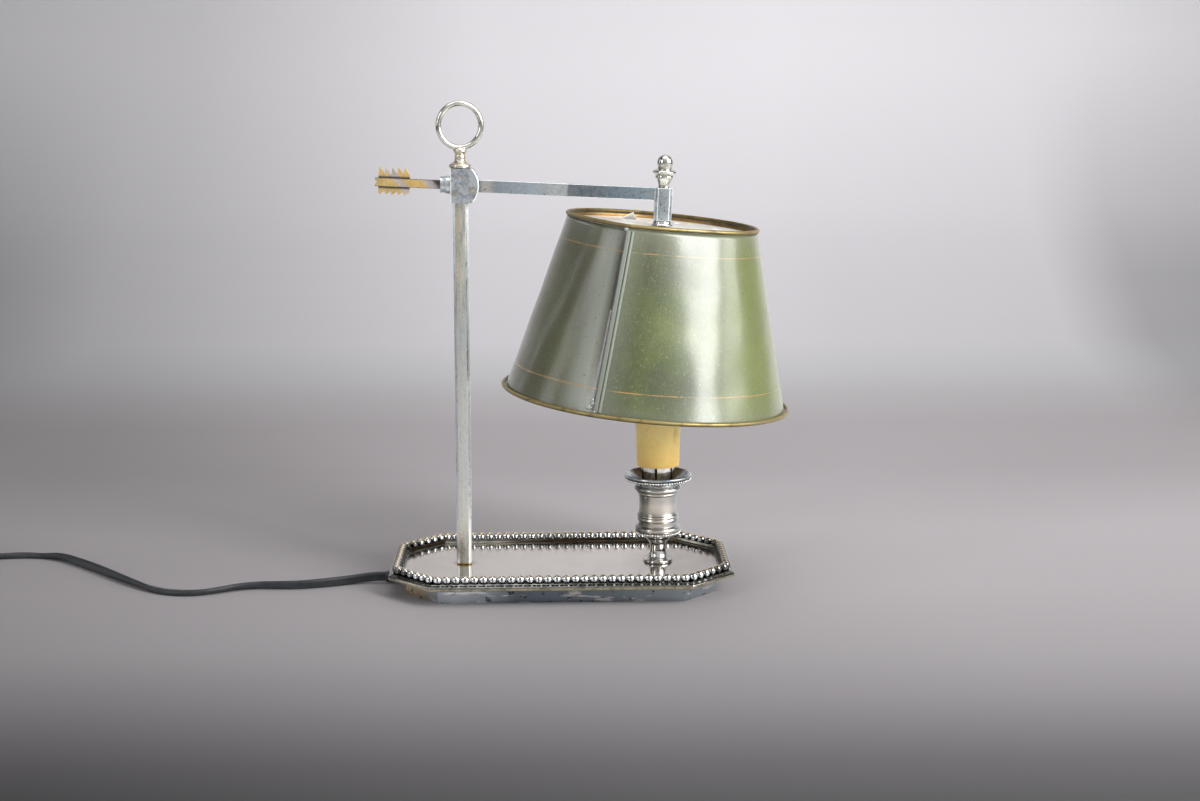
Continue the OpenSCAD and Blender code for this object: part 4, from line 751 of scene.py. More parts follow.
def candle_resin():
    """Cast resin candle tube, dipped: warm ivory gone yellow, waxy, a little deeper in colour at its foot."""
    material, tree, bsdf = new_material("yellowed ivory resin", Subsurface_Weight=0.12,
                                        Subsurface_Scale=0.003, Coat_Weight=0.15, Coat_Roughness=0.3)
    spot = own_frame(tree, CANDLE)
    parts = add_node(tree, "SeparateXYZ", links={"Vector": spot})
    cloud = add_node(tree, "TexNoise", {"Scale": 1000 / 14, "Detail": 6}, {"Vector": spot})
    tall = add_node(tree, "Math", {1: 22 * MM}, {0: cloud.outputs["Fac"], 2: parts.outputs["Z"]},
                    operation="MULTIPLY_ADD")
    share = add_node(tree, "MapRange", {1: 90 * MM, 2: 160 * MM}, {0: tall.outputs[0]})
    colour = add_node(tree, "ValToRGB", links={"Fac": share.outputs[0]},
                      stops=[(0.0, "dfa94d"), (0.12, "e9c266"), (0.4, "f1d483"), (1.0, "f3dd9a")])
    mottle = add_node(tree, "TexNoise", {"Scale": 1000 / 3, "Detail": 6}, {"Vector": spot})
    dim = add_node(tree, "MapRange", {1: 0.5, 2: 0.72, 3: 0.0, 4: 0.3}, {0: mottle.outputs["Fac"]})
    # painted shade in the tube's hollows, round the wax drips
    hollow = add_node(tree, "AmbientOcclusion", {"Distance": 3 * MM}, samples=8, only_local=True)
    hollow_shade = add_node(tree, "MapRange", {1: 0.5, 2: 0.95, 3: 0.5, 4: 0.0}, {0: hollow.outputs["AO"]})
    colour = colour.outputs["Color"]
    for tint, part in (("d0ab62", dim), ("6f5226", hollow_shade)):
        colour = add_node(tree, "Mix", {7: linear(tint)}, {0: part.outputs[0], 6: colour},
                          data_type="RGBA").outputs[2]
    tree.links.new(colour, bsdf.inputs["Base Color"])
    rough = add_node(tree, "MapRange", {1: 0.35, 2: 0.7, 3: 0.36, 4: 0.5}, {0: mottle.outputs["Fac"]})
    tree.links.new(rough.outputs[0], bsdf.inputs["Roughness"])
    skin = add_node(tree, "Bump", {"Strength": 0.12, "Distance": 0.4 * MM},
                    {"Height": cloud.outputs["Fac"]})
    tree.links.new(skin.outputs["Normal"], bsdf.inputs["Normal"])
    return material


def moulded(name, body, bloom, rough, grain_mm, relief):
    """Moulded plastic or rubber: even colour with a slight bloom, and the mould's fine texture."""
    material, tree, bsdf = new_material(name)
    place = add_node(tree, "TexCoord")
    cloud = add_node(tree, "TexNoise", {"Scale": 1000 / 9, "Detail": 7, "Roughness": 0.65},
                     {"Vector": place.outputs["Object"]})
    colour = add_node(tree, "ValToRGB", links={"Fac": cloud.outputs["Fac"]},
                      stops=[(0.42, body), (0.8, bloom)])
    tree.links.new(colour.outputs["Color"], bsdf.inputs["Base Color"])
    dull = add_node(tree, "MapRange", {1: 0.35, 2: 0.7, 3: rough, 4: rough + 0.15},
                    {0: cloud.outputs["Fac"]})
    tree.links.new(dull.outputs[0], bsdf.inputs["Roughness"])
    grain = add_node(tree, "TexNoise", {"Scale": 1000 / grain_mm, "Detail": 2},
                     {"Vector": place.outputs["Object"]})
    skin = add_node(tree, "Bump", {"Strength": relief, "Distance": 0.1 * MM},
                    {"Height": grain.outputs["Fac"]})
    tree.links.new(skin.outputs["Normal"], bsdf.inputs["Normal"])
    return material


def wool_felt():
    """Pressed wool felt: matt, with tangled fibres about half a millimetre apart."""
    material, tree, bsdf = new_material("wool felt", Roughness=0.95, Sheen_Weight=0.3)
    place = add_node(tree, "TexCoord")
    fibre = add_node(tree, "TexNoise", {"Scale": 1000 / 0.6, "Detail": 6, "Distortion": 1.5},
                     {"Vector": place.outputs["Object"]})
    colour = add_node(tree, "ValToRGB", links={"Fac": fibre.outputs["Fac"]},
                      stops=[(0.35, "10281a"), (0.7, "2a4c34")])
    tree.links.new(colour.outputs["Color"], bsdf.inputs["Base Color"])
    nap = add_node(tree, "Bump", {"Strength": 0.6, "Distance": 0.5 * MM}, {"Height": fibre.outputs["Fac"]})
    tree.links.new(nap.outputs["Normal"], bsdf.inputs["Normal"])
    return material


def opal_glass():
    """Blown opal glass of a light bulb: white, smooth, glossy, a little uneven, faintly grey at its neck."""
    material, tree, bsdf = new_material("opal glass", Roughness=0.07, Subsurface_Weight=0.3,
                                        Subsurface_Scale=0.004)
    spot = own_frame(tree, CANDLE)
    parts = add_node(tree, "SeparateXYZ", links={"Vector": spot})
    cloud = add_node(tree, "TexNoise", {"Scale": 1000 / 12, "Detail": 3}, {"Vector": spot})
    tall = add_node(tree, "Math", {1: 6 * MM}, {0: cloud.outputs["Fac"], 2: parts.outputs["Z"]},
                    operation="MULTIPLY_ADD")
    share = add_node(tree, "MapRange", {1: 150 * MM, 2: 175 * MM}, {0: tall.outputs[0]})
    colour = add_node(tree, "ValToRGB", links={"Fac": share.outputs[0]},
                      stops=[(0.0, "c9c6bd"), (1.0, "eeece4")])
    tree.links.new(colour.outputs["Color"], bsdf.inputs["Base Color"])
    blown = add_node(tree, "Bump", {"Strength": 0.05, "Distance": 1 * MM}, {"Height": cloud.outputs["Fac"]})
    tree.links.new(blown.outputs["Normal"], bsdf.inputs["Normal"])
    return material


SILVER = aged_plate("polished silver plate", "dedcd7", "a9acac", blot_mm=20, blots=(0.5, 0.78), ripple=0.04)
BRIGHT = aged_plate("bright silver plate on turned parts", "d8d6d0", "8f969c", blot_mm=9, blots=(0.5, 0.74),
                    gloss=(0.14, 0.28), hollow_shade_mm=1.8, ripple=0.0, neighbour_shade=True)
HANDLED = aged_plate("silver plate dulled by handling", "d6d4cb", "98958a", blot_mm=6, blots=(0.48, 0.72),
                     gloss=(0.16, 0.28), hollow_shade_mm=1.4, ripple=0.0, neighbour_shade=True)
WARM = aged_plate("silver plate worn thin on the collar", "dcd5c8", "c4b9a0", blot_mm=5, blots=(0.42, 0.62),
                  gloss=(0.24, 0.38), hollow_shade_mm=1.2, ripple=0.0)
# darker towards the tray's right end: painted shade and reflection under the candle and its shade; painted
# shade in hollows reaches 7 mm, beside the post, stem and beads
TRAY_PLATE = aged_plate("silver plate on the tray", "c6c1bc", "aea8a2", blot_mm=34, blots=(0.45, 0.72),
                        gloss=(0.1, 0.18), ripple=0.02, hollow_shade_mm=7, neighbour_shade=True,
                        along=[("X", -115, 115, [(0.0, "bfb8b2"), (0.3, "c8c3be"), (0.68, "c8c3be"),
                                                 (0.82, "9a8f89"), (1.0, "7a716c")])])
# painted reflection: light and dark rings round the cup at set heights
CUP_REFLECTED_RINGS = [(0.0, "7c848a"), (0.1, "d2d0ca"), (0.17, "8c9296"), (0.2, "4a545f"), (0.26, "5a6570"),
             (0.29, "d8d5ce"), (0.4, "d2cdc3"), (0.44, "7f858b"), (0.48, "c6bfb3"), (0.62, "cfc8bc"),
             (0.68, "7b858f"), (0.77, "55606b"), (0.81, "a8adb0"), (0.86, "dedcd6"), (0.97, "8f959a")]
# darker on the cup's left side, paler on its right
CUP_SIDES = [(0.0, "5f5f58"), (0.2, "7d7a6e"), (0.34, "cbc4b8"), (0.7, "cfc9be"), (0.84, "b0b4b6"),
             (1.0, "c8caca")]
CUP_PLATE = aged_plate("satin silver plate on the candle cup", "d2ccc0", "969ea6", where=CUP, blot_mm=9,
                       blots=(0.5, 0.74), gloss=(0.28, 0.4), hollow_shade_mm=2.4, ripple=0.0, neighbour_shade=True,
                       along=[("Z", 20.8, 56, CUP_REFLECTED_RINGS), ("X", -16, 16, CUP_SIDES)])
# across the moulding's section: darker lines in the trough under the beads and in the steps of its outer lip,
# painted shade with old polish there, and a brassy tint down its outer face
MOULDING = aged_plate("silver plate on the moulding", "bcbcb8", "666c71", ground="bb9a5c", blot_mm=8,
                      blots=(0.48, 0.7), wear=(0.53, 0.6), gloss=(0.14, 0.32), hollow_shade_mm=2.0, ripple=0.05,
                      across=[(0.0, "8c8c8a"), (0.06, "b4b0a4"), (0.3, "aaa69c"), (0.36, "7a7a78"),
                              (0.41, "ffffff"), (0.47, "8c8c8a"), (0.51, "545454"), (0.55, "a8a8a6"),
                              (0.595, "6c6c6c"), (0.64, "a8a6a2"), (0.73, "cac4b6"), (0.81, "d6cdb8"),
                              (0.87, "dcc896"), (0.93, "8a7f64")])
# along the skirt, golden at its left end and darkest in its middle: painted shade and reflection
SKIRT = aged_plate("tarnished plate on the skirt", "5e656c", "d8cec8", blot_mm=11, blots=(0.56, 0.6),
                   gloss=(0.34, 0.2), stretch=(0.5, 0.5, 2.2), ripple=0.08, spots=("23272b", 5, 0.6, 0.66),
                   along=[("X", -112, 112, [(0.0, "c8ab7a"), (0.07, "bcaa8c"), (0.11, "9ea3a8"),
                                            (0.17, "b4babe"), (0.3, "848b92"), (0.36, "525960"),
                                            (0.66, "666d75"), (0.86, "8b9299"), (1.0, "a6aaaa")])])
BLOCK = aged_plate("tarnished plate on the block", "e6ebee", "8f99a3", blot_mm=4, blots=(0.4, 0.62),
                   gloss=(0.26, 0.42), hollow_shade_mm=1.5, ripple=0.06, spots=("b9a478", 3.4, 0.55, 0.63))
# the rubbed edges of the block and arm: near white and barely metallic, a painted highlight along them
EDGE_SHINE = aged_plate("silver plate rubbed and painted bright on the block's edges", "f6f8f8", "dfe3e4", blot_mm=3,
                  gloss=(0.2, 0.3), hollow_shade_mm=0.6, ripple=0.0, metallic=0.3)
ARM_PLATE = aged_plate("tarnished plate on the arm", "d6e0e6", "8c979f", where=ARM, blot_mm=4,
                       blots=(0.42, 0.6), gloss=(0.24, 0.4), ripple=0.06, spots=("7f7262", 2.6, 0.6, 0.67),
                       along=[("X", 9, 146, [(0.0, "7c8185"), (0.03, "7c8185"), (0.05, "e6dece"),
                                             (0.09, "d0cdc2"), (0.11, "a6aeb4"), (0.2, "b9c3ca"),
                                             (0.3, "cad5dc"), (0.36, "d6d9d6"), (0.4, "e2e5e0"),
                                             (0.465, "dadbd4"), (0.475, "62656a"), (0.6, "5e666e"),
                                             (0.7, "6a7f8e"), (0.82, "8ba3b2"), (0.93, "b4c0c6"),
                                             (1.0, "e4e8ea")])])
# near white and barely metallic: a painted reflection of the bright room on the tinned plate
TIN = aged_plate("tinned sheet of the shade's plate", "f8f8f4", "dedad2", where=SHADE, blot_mm=14,
                 blots=(0.48, 0.74), gloss=(0.14, 0.3), ripple=0.3, hollow_shade_mm=1.0, metallic=0.1)
ARROW = arrow_gilt()
PAINT, SEAM, SOLDER = tole_paint(), seam_paint(), solder()
# the rims' wire is painted dark beneath, as shade
RIM = gold_paint("gold paint on the rims", "9c8d63", "6f6644", 0.5,
                 edges=[(0.0, "e0dcc8"), (0.08, "f0ecdc"), (0.24, "dcd4bc"), (0.36, "c0b692"),
                        (0.46, "a49b7a"), (0.6, "7a745a"), (0.8, "3a372b"), (0.9, "6a6450"),
                        (0.97, "c4bea4"), (1.0, "e0dcc8")])
LINING = gold_paint("old gold paint inside the shade", "96743c", "6e4a26", 0.5)
# one finish for each of the CAD nodes' material slots
FINISHES = {
    "silver_plate": SILVER,
    "tarnished_silver": BLOCK,
    "worn_brass": ARROW,
    "green_paint": PAINT,
    "gilt_rim": RIM,
    "plain_brass": turned_metal("plain turned brass", "b9964a", "8f7338"),
    "steel": turned_metal("zinc-plated steel", "a9a9a6", "8a8a86"),
    "bulb_cap": turned_metal("nickel-plated brass of the bulb's cap", "c4c3bd", "a09d95", where=CANDLE),
    "ivory_sleeve": candle_resin(),
    "bulb_glass": opal_glass(),
    "felt": wool_felt(),
    "dark_phenolic": moulded("pressed phenolic", "1c1310", "2d1f19", 0.28, 0.5, 0.15),
    "black_cord": moulded("extruded black cord", "121519", "30353a", 0.38, 1.4, 0.35),
    "lead_insulation": moulded("glass-fibre lead sleeve", "4b4742", "6f6a62", 0.6, 0.7, 0.5),
    "black_moulding": moulded("black moulded plastic", "17181a", "26282b", 0.34, 0.45, 0.3),
    "rocker": moulded("gloss black rocker", "131316", "202024", 0.16, 0.8, 0.06),
}


# ---- base ----

# half of the tray's length and width, and how much of both each corner takes off
TRAY_LONG, TRAY_WIDE, TRAY_CUT = 120.5, 63.5, 30.6
CUT_PER_INSET = 0.5858  # how fast that shrinks with an inset: 2 less the root of 2
CORNER_RUN = 0.6
BEAD_INSET, BEAD_LEVEL = 5.5, 18.4
BEAD_PITCH, BEAD_R = 6.27, 3.06


def tray_corners(inset):
    """The eight corners of the tray's outline, moved in by an inset."""
    long, wide, cut = TRAY_LONG - inset, TRAY_WIDE - inset, TRAY_CUT - CUT_PER_INSET * inset
    return [Vector(at) for at in ((long, -wide + cut), (long, wide - cut), (long - cut, wide),
                                  (-long + cut, wide), (-long, wide - cut), (-long, -wide + cut),
                                  (-long + cut, -wide), (long - cut, -wide))]


def octagon(inset):
    """The tray's outline at an inset, its corners rounded a little, as a closed loop of points."""
    corners = tray_corners(inset)
    loop = []
    for before, at, after in zip(corners[-1:] + corners[:-1], corners, corners[1:] + corners[:1]):
        start = at + (before - at).normalized() * CORNER_RUN
        end = at + (after - at).normalized() * CORNER_RUN
        loop += [start, (start + end + 2 * at) / 4, end]
    return loop + loop[:1]


def carried(section):
    """A closed section of (inset, height) points carried round the tray's outline."""
    rings = [octagon(inset) for inset, _ in section]

    def place(u, w):
        ring, level = rings[round(w * (len(section) - 1))], section[round(w * (len(section) - 1))][1]
        x, y = ring[round(u * (len(ring) - 1))]
        return x, y, level

    return wrapped(len(rings[0]) - 1, len(section) - 1, place)


MOULDING_SECTION = [(7.5, 11.4), (7.5, 14.4), (10.2, 14.4), (9.1, 15.3), (8.5, 16.4), (8.1, 17.1),
                    (5.5, 15.5), (2.9, 15.9), (2.6, 15.5), (2.1, 15.2), (1.7, 15), (0.7, 14.7), (0.2, 14.1),
                    (0, 13.4), (0, 12.6), (0.4, 11.8), (1.4, 11.4)]
moulding = finished(carried(rounded(MOULDING_SECTION, 28, closed=True)), "edge_moulding")
as_piece("rim_moulding", moulding, MOULDING, "stand", "silver_plate", "edge_moulding")


def bead_places():
    """Evenly spaced along each side of the tray, as the beads are cast."""
    corners = tray_corners(BEAD_INSET)
    places = []
    for start, end in zip(corners, corners[1:] + corners[:1]):
        run = end - start
        count = round(run.length / BEAD_PITCH)
        places += [(*(start + run * (step + 0.5) / count), BEAD_LEVEL) for step in range(count)]
    return places


beads = balls(bead_places(), BEAD_R, rounds=3)
as_piece("rim_beads", finished(beads, "beads"), bead_plate(), "stand", "silver_plate", "bead_row")
eased_copy("skirt", "base_skirt", 0.35, SKIRT, "stand", "silver_plate")

# ---- post, collar and ring ----

RING_R, RING_WIRE_R = 14.95, 1.95
eased_copy("post_bar", "post", 0.35, post_plate(), "stand", "silver_plate", over=20)
COLLAR_PROFILE = [(2.6, 0), (7.25, 0), (7.75, 0.9), (7.65, 2), (6.85, 2.7), (5.4, 3.4), (4, 4.6),
                  (3.6, 5.6), (3.8, 6.6), (3.8, 7.8), (3.4, 8.5), (3.3, 9.2), (4, 10), (4.6, 11.2),
                  (4.5, 12.2), (3.8, 13.2), (2.9, 14), (0, 14)]
as_piece("collar", finished(turned(rounded(COLLAR_PROFILE)), "collar", COLLAR), WARM, "stand",
         "silver_plate", "ring_collar")
RING_TURNS = [step * math.tau / 20 for step in range(20)]
RING_SECTION = [(RING_R + RING_WIRE_R * math.cos(a), RING_WIRE_R * math.sin(a)) for a in RING_TURNS]
as_piece("finger_ring", finished(turned(RING_SECTION, 96, closed=True), "ring", RING), HANDLED, "stand",
         "silver_plate", "ring_handle")

# ---- sliding block, arrow and arm ----

BLOCK_HALF = 9


def on_block_face(edge):
    """The upright and arched edges of the block's front and back, which hands have rubbed and which carry a
    painted highlight.
    """
    first, last = edge.verts
    on_face = all(abs(abs(v.co.y) - BLOCK_HALF) < 0.05 for v in edge.verts)
    return on_face and abs(first.co.z - last.co.z) > 0.2


eased_copy("sliding_block", "slider_block", 0.75, [BLOCK, EDGE_SHINE], "carriage", "tarnished_silver", segments=1,
           worn_edges=True, chosen=on_block_face)
eased_copy("arrow_stem", "arrow_shaft", 0.5, ARROW, "arrow", "worn_brass")
eased_copy("arrow_feathers", "arrow_vanes", 0.45, ARROW, "arrow", "worn_brass")
# the arm's edges carry the painted highlight too
eased_copy("arm_bar", "arm", 0.3, [ARM_PLATE, EDGE_SHINE], "carriage", "tarnished_silver", over=20,
           worn_edges=True)
FINIAL_PROFILE = [(3.6, 0), (3.9, 2), (4.6, 4.4), (5.6, 6.2), (6.3, 6.8), (6.3, 7.8), (5.8, 8.3),
                  (6.8, 9.1), (8.4, 10.2), (8.5, 10.9), (7.6, 11.9), (5.6, 12.6), (4.8, 13), (5.2, 13.5)]
KNOB_R, KNOB_Z = 5.5, 17.2
KNOB_TURNS = [math.radians(degrees) for degrees in range(-30, 90, 10)]
KNOB = [(KNOB_R * math.cos(a), KNOB_Z + KNOB_R * math.sin(a)) for a in KNOB_TURNS]
finial = turned(rounded(FINIAL_PROFILE)[:-1] + KNOB + [(0, KNOB_Z + KNOB_R)])
finial = finished(finial, "finial", DROP @ shift(0, 0, 4.35))
as_piece("finial", finial, HANDLED, "carriage", "silver_plate", "arm_finial")
SPACER_PROFILE = [(2.6, 0), (6, 0), (6.4, -1.8), (7.4, -2.6), (7.4, -3.4), (2.6, -3.4)]
spacer = finished(turned(rounded(SPACER_PROFILE, 25, closed=True)[:-1], closed=True), "spacer",
                  DROP @ shift(0, 0, -18.3))
as_piece("spacer", spacer, BRIGHT, "carriage", "silver_plate", "shade_spacer")
for node, edge in (("lower_washer", 0.2), ("shade_nut", 0.4)):
    eased_copy(node + "_edged", node, edge, FINISHES["plain_brass"], "carriage", "plain_brass")

# ---- shade ----

SHADE_TOP_R, SHADE_FOOT_R, SHADE_TALL = 66.1, 98.1, 122.4
SHEET_TOP = 2.2  # height of the sheet's upper edge in the shade's own frame
SHEET_THICK = 0.7
SEAM_AT, SEAM_LEAN = -111.5, -1.8  # degrees round the shade, at its top and from there to its foot
SEAM_TOP, SEAM_RUN = 0.0123, 0.96  # where the folded seam begins and how far it runs, as shares
SEAM_TURN = 7.5  # a turn that gives the fold its direction
WIRE_R, WIRE_UP = 1.42, 1.45


def around_shade(turn, share):
    """The angle about the shade's axis, at a turn in degrees from the seam and a share of the height."""
    return math.radians(turn + SEAM_AT + SEAM_LEAN * share)


def sheet_point(turn, share, grow=0.0):
    """A point of the shade's sheet, grown outwards. It is creased at the seam and flatter beside it."""
    away = abs((turn + 180) % 360 - 180)
    bend, flat = math.exp(-away / 15), math.exp(-((away - 40) / 20) ** 2)
    top = SHADE_TOP_R * (1 + 0.12 * bend - 0.055 * flat)
    foot = SHADE_FOOT_R * (1 + 0.01 * bend - 0.005 * flat)
    radius = (1 - share) * top + share * foot + grow
    angle = around_shade(turn, share)
    return Vector((radius * math.cos(angle), radius * math.sin(angle), SHEET_TOP - SHADE_TALL * share))


def shade_sheet():
    """The sheet, with the shallow dents of old tinplate, which fade out at the seam and at both rims."""
    def place(u, w):
        at = sheet_point(360 * u, w)
        out = Vector((at.x, at.y, 0)).normalized()
        quiet = min(1, 6 * w, 6 * (1 - w), 9 * min(u, 1 - u))
        return at + out * (0.45 * quiet * noise.noise(at / 27) - 0.25 * quiet)

    return finished(wrapped(240, 40, place), "shade sheet", SHADE, creases=25)


sheet = as_piece("shade_sheet", shade_sheet(), [PAINT, LINING], "shade", "green_paint", "shade_shell")
wall = sheet.modifiers.new("wall", "SOLIDIFY")
wall.thickness, wall.offset, wall.material_offset = SHEET_THICK * MM, -1, 1


def rim_wire(share, grow):
    """A wired rim: the wire runs just off the sheet's edge, which is rolled over it a little unevenly."""
    def place(u, w):
        centre = sheet_point(360 * u, share, grow) + Vector((0, 0, WIRE_UP))
        out = Vector((centre.x, centre.y, 0)).normalized()
        thick = WIRE_R + 0.05 * noise.noise(centre / 6)
        up = Vector((0, 0, thick * math.sin(w * math.tau)))
        return centre + out * thick * math.cos(w * math.tau) + up

    return finished(wrapped(300, 14, place), "rim", SHADE)


as_piece("upper_rim", rim_wire(0, -0.3), RIM, "shade", "gilt_rim", "top_rim_wire")
as_piece("lower_rim", rim_wire(1, 1.55), RIM, "shade", "gilt_rim", "bottom_rim_wire")
# the folded seam's section as (along, out): a rounded ridge, a groove and a narrow second ridge
FOLD = [(0, -0.2), (0, 0.55), (0.35, 0.8), (2.5, 0.8), (2.85, 0.62), (3.1, 0.15), (3.5, 0.1), (3.8, 0.55),
        (4.2, 0.72), (5.0, 0.66), (5.5, 0.15), (5.5, -0.2)]


def folded_seam():
    """The seam's section carried down the sheet, wandering a little, with both ends closed."""
    fold = rounded(FOLD, 30, closed=True)

    def place(u, w):
        share = SEAM_TOP + SEAM_RUN * w
        along, out = fold[round(u * (len(fold) - 1))]
        start, end = sheet_point(0, share, out), sheet_point(SEAM_TURN, share, out)
        wander = 0.12 * noise.noise(Vector((share * 14, 2.0, along * 0.3)))
        return start + (end - start).normalized() * (along + wander)

    shape = wrapped(len(fold) - 1, 60, place)
    bmesh.ops.remove_doubles(shape, verts=shape.verts, dist=0.004)
    bmesh.ops.holes_fill(shape, edges=shape.edges)
    return finished(shape, "seam", SHADE, creases=60)


as_piece("folded_seam", folded_seam(), SEAM, "shade", "green_paint", "shade_seam")


def solder_blobs():
    """Where the seam meets each rim: a few runs of solder, pressed flat against the sheet."""
    shape = bmesh.new()
    for turn, share, wide, tall in ((-0.5, 0.004, 1.7, 1.2), (-2.2, 0.955, 2.4, 1.5),
                                    (-1.0, 0.925, 1.3, 2.2), (0.4, 0.975, 1.2, 1.2)):
        centre = sheet_point(turn, share, 0.3)
        facing = Matrix.Rotation(around_shade(turn, share), 4, "Z")
        pressed = shift(*centre) @ facing @ Matrix.Diagonal((0.7, wide, tall, 1))
        fresh = bmesh.ops.create_icosphere(shape, subdivisions=3, radius=1.0, matrix=pressed)
        for vertex in fresh["verts"]:
            vertex.co += (vertex.co - centre) * 0.45 * noise.noise(vertex.co * 0.9)
    return finished(shape, "solder", SHADE, creases=180)


as_piece("seam_solder", solder_blobs(), SOLDER, "shade", "silver_plate")
eased_copy("vented_plate", "shade_plate", 0.16, TIN, "shade", "silver_plate", segments=2)

# ---- candle lampholder ----

STEM_PROFILE = [(4.9, 0), (9.9, 0), (10.1, 0.8), (10, 1.8), (8.6, 2.7), (6.9, 3.9), (5.9, 5.6), (5.35, 8),
                (5.3, 10.4), (5.8, 13), (7, 15.2), (8.9, 17), (9.4, 18), (10.4, 19.4), (12.4, 20.4),
                (12.8, 20.8), (4.9, 20.8)]
as_piece("stem", finished(turned(rounded(STEM_PROFILE, 25)), "stem", CUP), BRIGHT, "stand", "silver_plate",
         "candle_stem")
eased_copy("cup", "nozzle_cup", 0.2, CUP_PLATE, "stand", "silver_plate", even=False)
PAN_PLATE = aged_plate("dulled silver plate on the pan", "c6cacc", "808b95", where=PAN, blot_mm=9,
                       blots=(0.44, 0.66), gloss=(0.26, 0.4), hollow_shade_mm=2.4, ripple=0.0, neighbour_shade=True)
PAN_PROFILE = [(11.8, 0), (15.2, 0), (15.4, 1.4), (16.6, 2.8), (19, 3.8), (21.9, 4.4), (22.7, 5.2),
               (22.5, 6), (23.4, 6.6), (23.6, 7.3), (23.3, 8), (22.6, 8.4), (21.8, 8), (19.6, 6), (16.6, 4),
               (14.6, 2.6), (13, 2), (11.8, 2)]
pan = turned(rounded(PAN_PROFILE, 28, closed=True)[:-1], 96, closed=True)
as_piece("candle_pan", finished(pan, "pan", PAN), PAN_PLATE, "stand", "silver_plate", "drip_pan")


def ring_of(count, radius, height):
    """Evenly spaced places on a circle."""
    turns = [math.tau * step / count for step in range(count)]
    return [(radius * math.cos(turn), radius * math.sin(turn), height) for turn in turns]


# one row of pearls lies on the pan's edge, the other round the cup
PEARL_R = 0.92
pearls = balls(ring_of(74, 23.0, 75.5) + ring_of(50, 15.35, 36.5), PEARL_R)
PEARL = aged_plate("silver plate on the small pearls", "e6e4de", "b0b2b0", blot_mm=6, gloss=(0.14, 0.26),
                   hollow_shade_mm=1.3, ripple=0.0, neighbour_shade=True)
as_piece("pearl_rows", finished(pearls, "pearls", CANDLE), PEARL, "stand", "silver_plate")
eased_copy("slotted_collar", "split_collar", 0.2, BRIGHT, "stand", "silver_plate")

TUBE_FOOT, TUBE_TOP, TUBE_ROWS = 85, 161, 130
TUBE_R, TUBE_FOOT_R, TUBE_FLARE = 15.875, 15.05, 30
# the tube's rim and its bore, as (radius, height)
TUBE_INSIDE = [(15.6, 161), (14.95, 161), (14.7, 160.8), (14.675, 150), (14.675, 100), (13.9, 85)]
# where the wax ran: (degrees round the tube, height of the drop)
DRIPS = ((-40, 107), (75, 131), (160, 120), (250, 137))
RUN_R, DROP_R, WAX_SINK = 1.5, 2.4, 0.3


def wax_at(angle, height, radius):
    """The tube's radius with the wax on it: a rib down to each drop, and the drop."""
    for turn, end in DRIPS:
        side = radius * ((angle - math.radians(turn) + math.pi) % math.tau - math.pi)
        side += 0.25 * noise.noise(Vector((turn, height / 7, 0)))
        run = math.sqrt(max(RUN_R ** 2 - side ** 2, 0)) - WAX_SINK if height > end else 0
        drop = math.sqrt(max(DROP_R ** 2 - side ** 2 - (0.55 * (height - end)) ** 2, 0)) - WAX_SINK
        radius += max(run, drop, 0) * 0.8
    return radius


def candle_tube():
    """The candle tube, narrower at its foot, with runs of wax and a thin wall."""
    def place(u, w):
        row = round(w * (TUBE_ROWS + len(TUBE_INSIDE)))
        angle = u * math.tau
        if row > TUBE_ROWS:
            radius, height = TUBE_INSIDE[row - TUBE_ROWS - 1]
        else:
            height = TUBE_FOOT + (TUBE_TOP - TUBE_FOOT) * row / TUBE_ROWS
            bare = TUBE_FOOT_R + (TUBE_R - TUBE_FOOT_R) * min((height - TUBE_FOOT) / TUBE_FLARE, 1)
            radius = wax_at(angle, height, bare)
        return radius * math.cos(angle), radius * math.sin(angle), height

    tube = wrapped(170, TUBE_ROWS + len(TUBE_INSIDE), place)
    return finished(tube, "candle tube", CANDLE, creases=70)


as_piece("candle_tube", candle_tube(), FINISHES["ivory_sleeve"], "stand", "ivory_sleeve", "candle_sleeve")

# ---- what is on the cord ----


def strain_relief():
    """A ribbed taper where the cord leaves the base, and the grommet that holds it in the hole."""
    profile = [(3.45, -5.2), (4.4, -3.4), (5, -3.4), (5, -1.6), (4.2, -1.6), (4.2, 0), (4.6, 0), (4.6, 1.2)]
    for rib in range(6):
        start, radius = 2.0 + rib * 2.3, 4.45 - rib * 0.1
        profile += [(radius - 0.45, start), (radius - 0.45, start + 0.7), (radius, start + 0.9),
                    (radius, start + 2.0)]
    return finished(turned(rounded(profile + [(3.8, 16.4), (3.45, 16.4)], 22)), "strain relief", CORD_HOLE)


as_piece("strain_relief", strain_relief(), FINISHES["black_moulding"], "stand", "black_moulding",
         "cord_bushing")
for node, edge, body in (("switch_base", 1.2, "stand"), ("switch_cover", 1.2, "stand"),
                         ("switch_rocker", 0.7, "rocker"), ("plug_body", 1.3, "stand"),
                         ("plug_blades", 0.4, "stand"), ("cord_tie", 0.5, "stand"),
                         ("switch_screws", 0.2, "stand")):
    slot = next(part["material_slot"] for part in frame["record"]["subparts"] if part["node"] == node)
    eased_copy(node + "_edged", node, edge, FINISHES[slot], body, slot)

for part in frame["record"]["subparts"]:
    materials = nodes[part["node"]].data.materials
    materials.clear()
    materials.append(TRAY_PLATE if part["node"] == "tray_plate" else FINISHES[part["material_slot"]])

# ---- the cord, laid ----

cord, cord_path = lay_cord(FINISHES["black_cord"])
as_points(cord_path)

# ---- floor, backdrop and lights ----

PAPER_HALF = 9
# the paper's section as (y, z) in metres
PAPER_SECTION = [(-9.0, 0.0), (0.4, 0.0), (0.75, 0.06), (0.95, 0.2), (1.05, 0.42), (1.1, 0.8), (1.1, 7.0)]
LAMP_MIDDLE = (0, 0, 0.15)
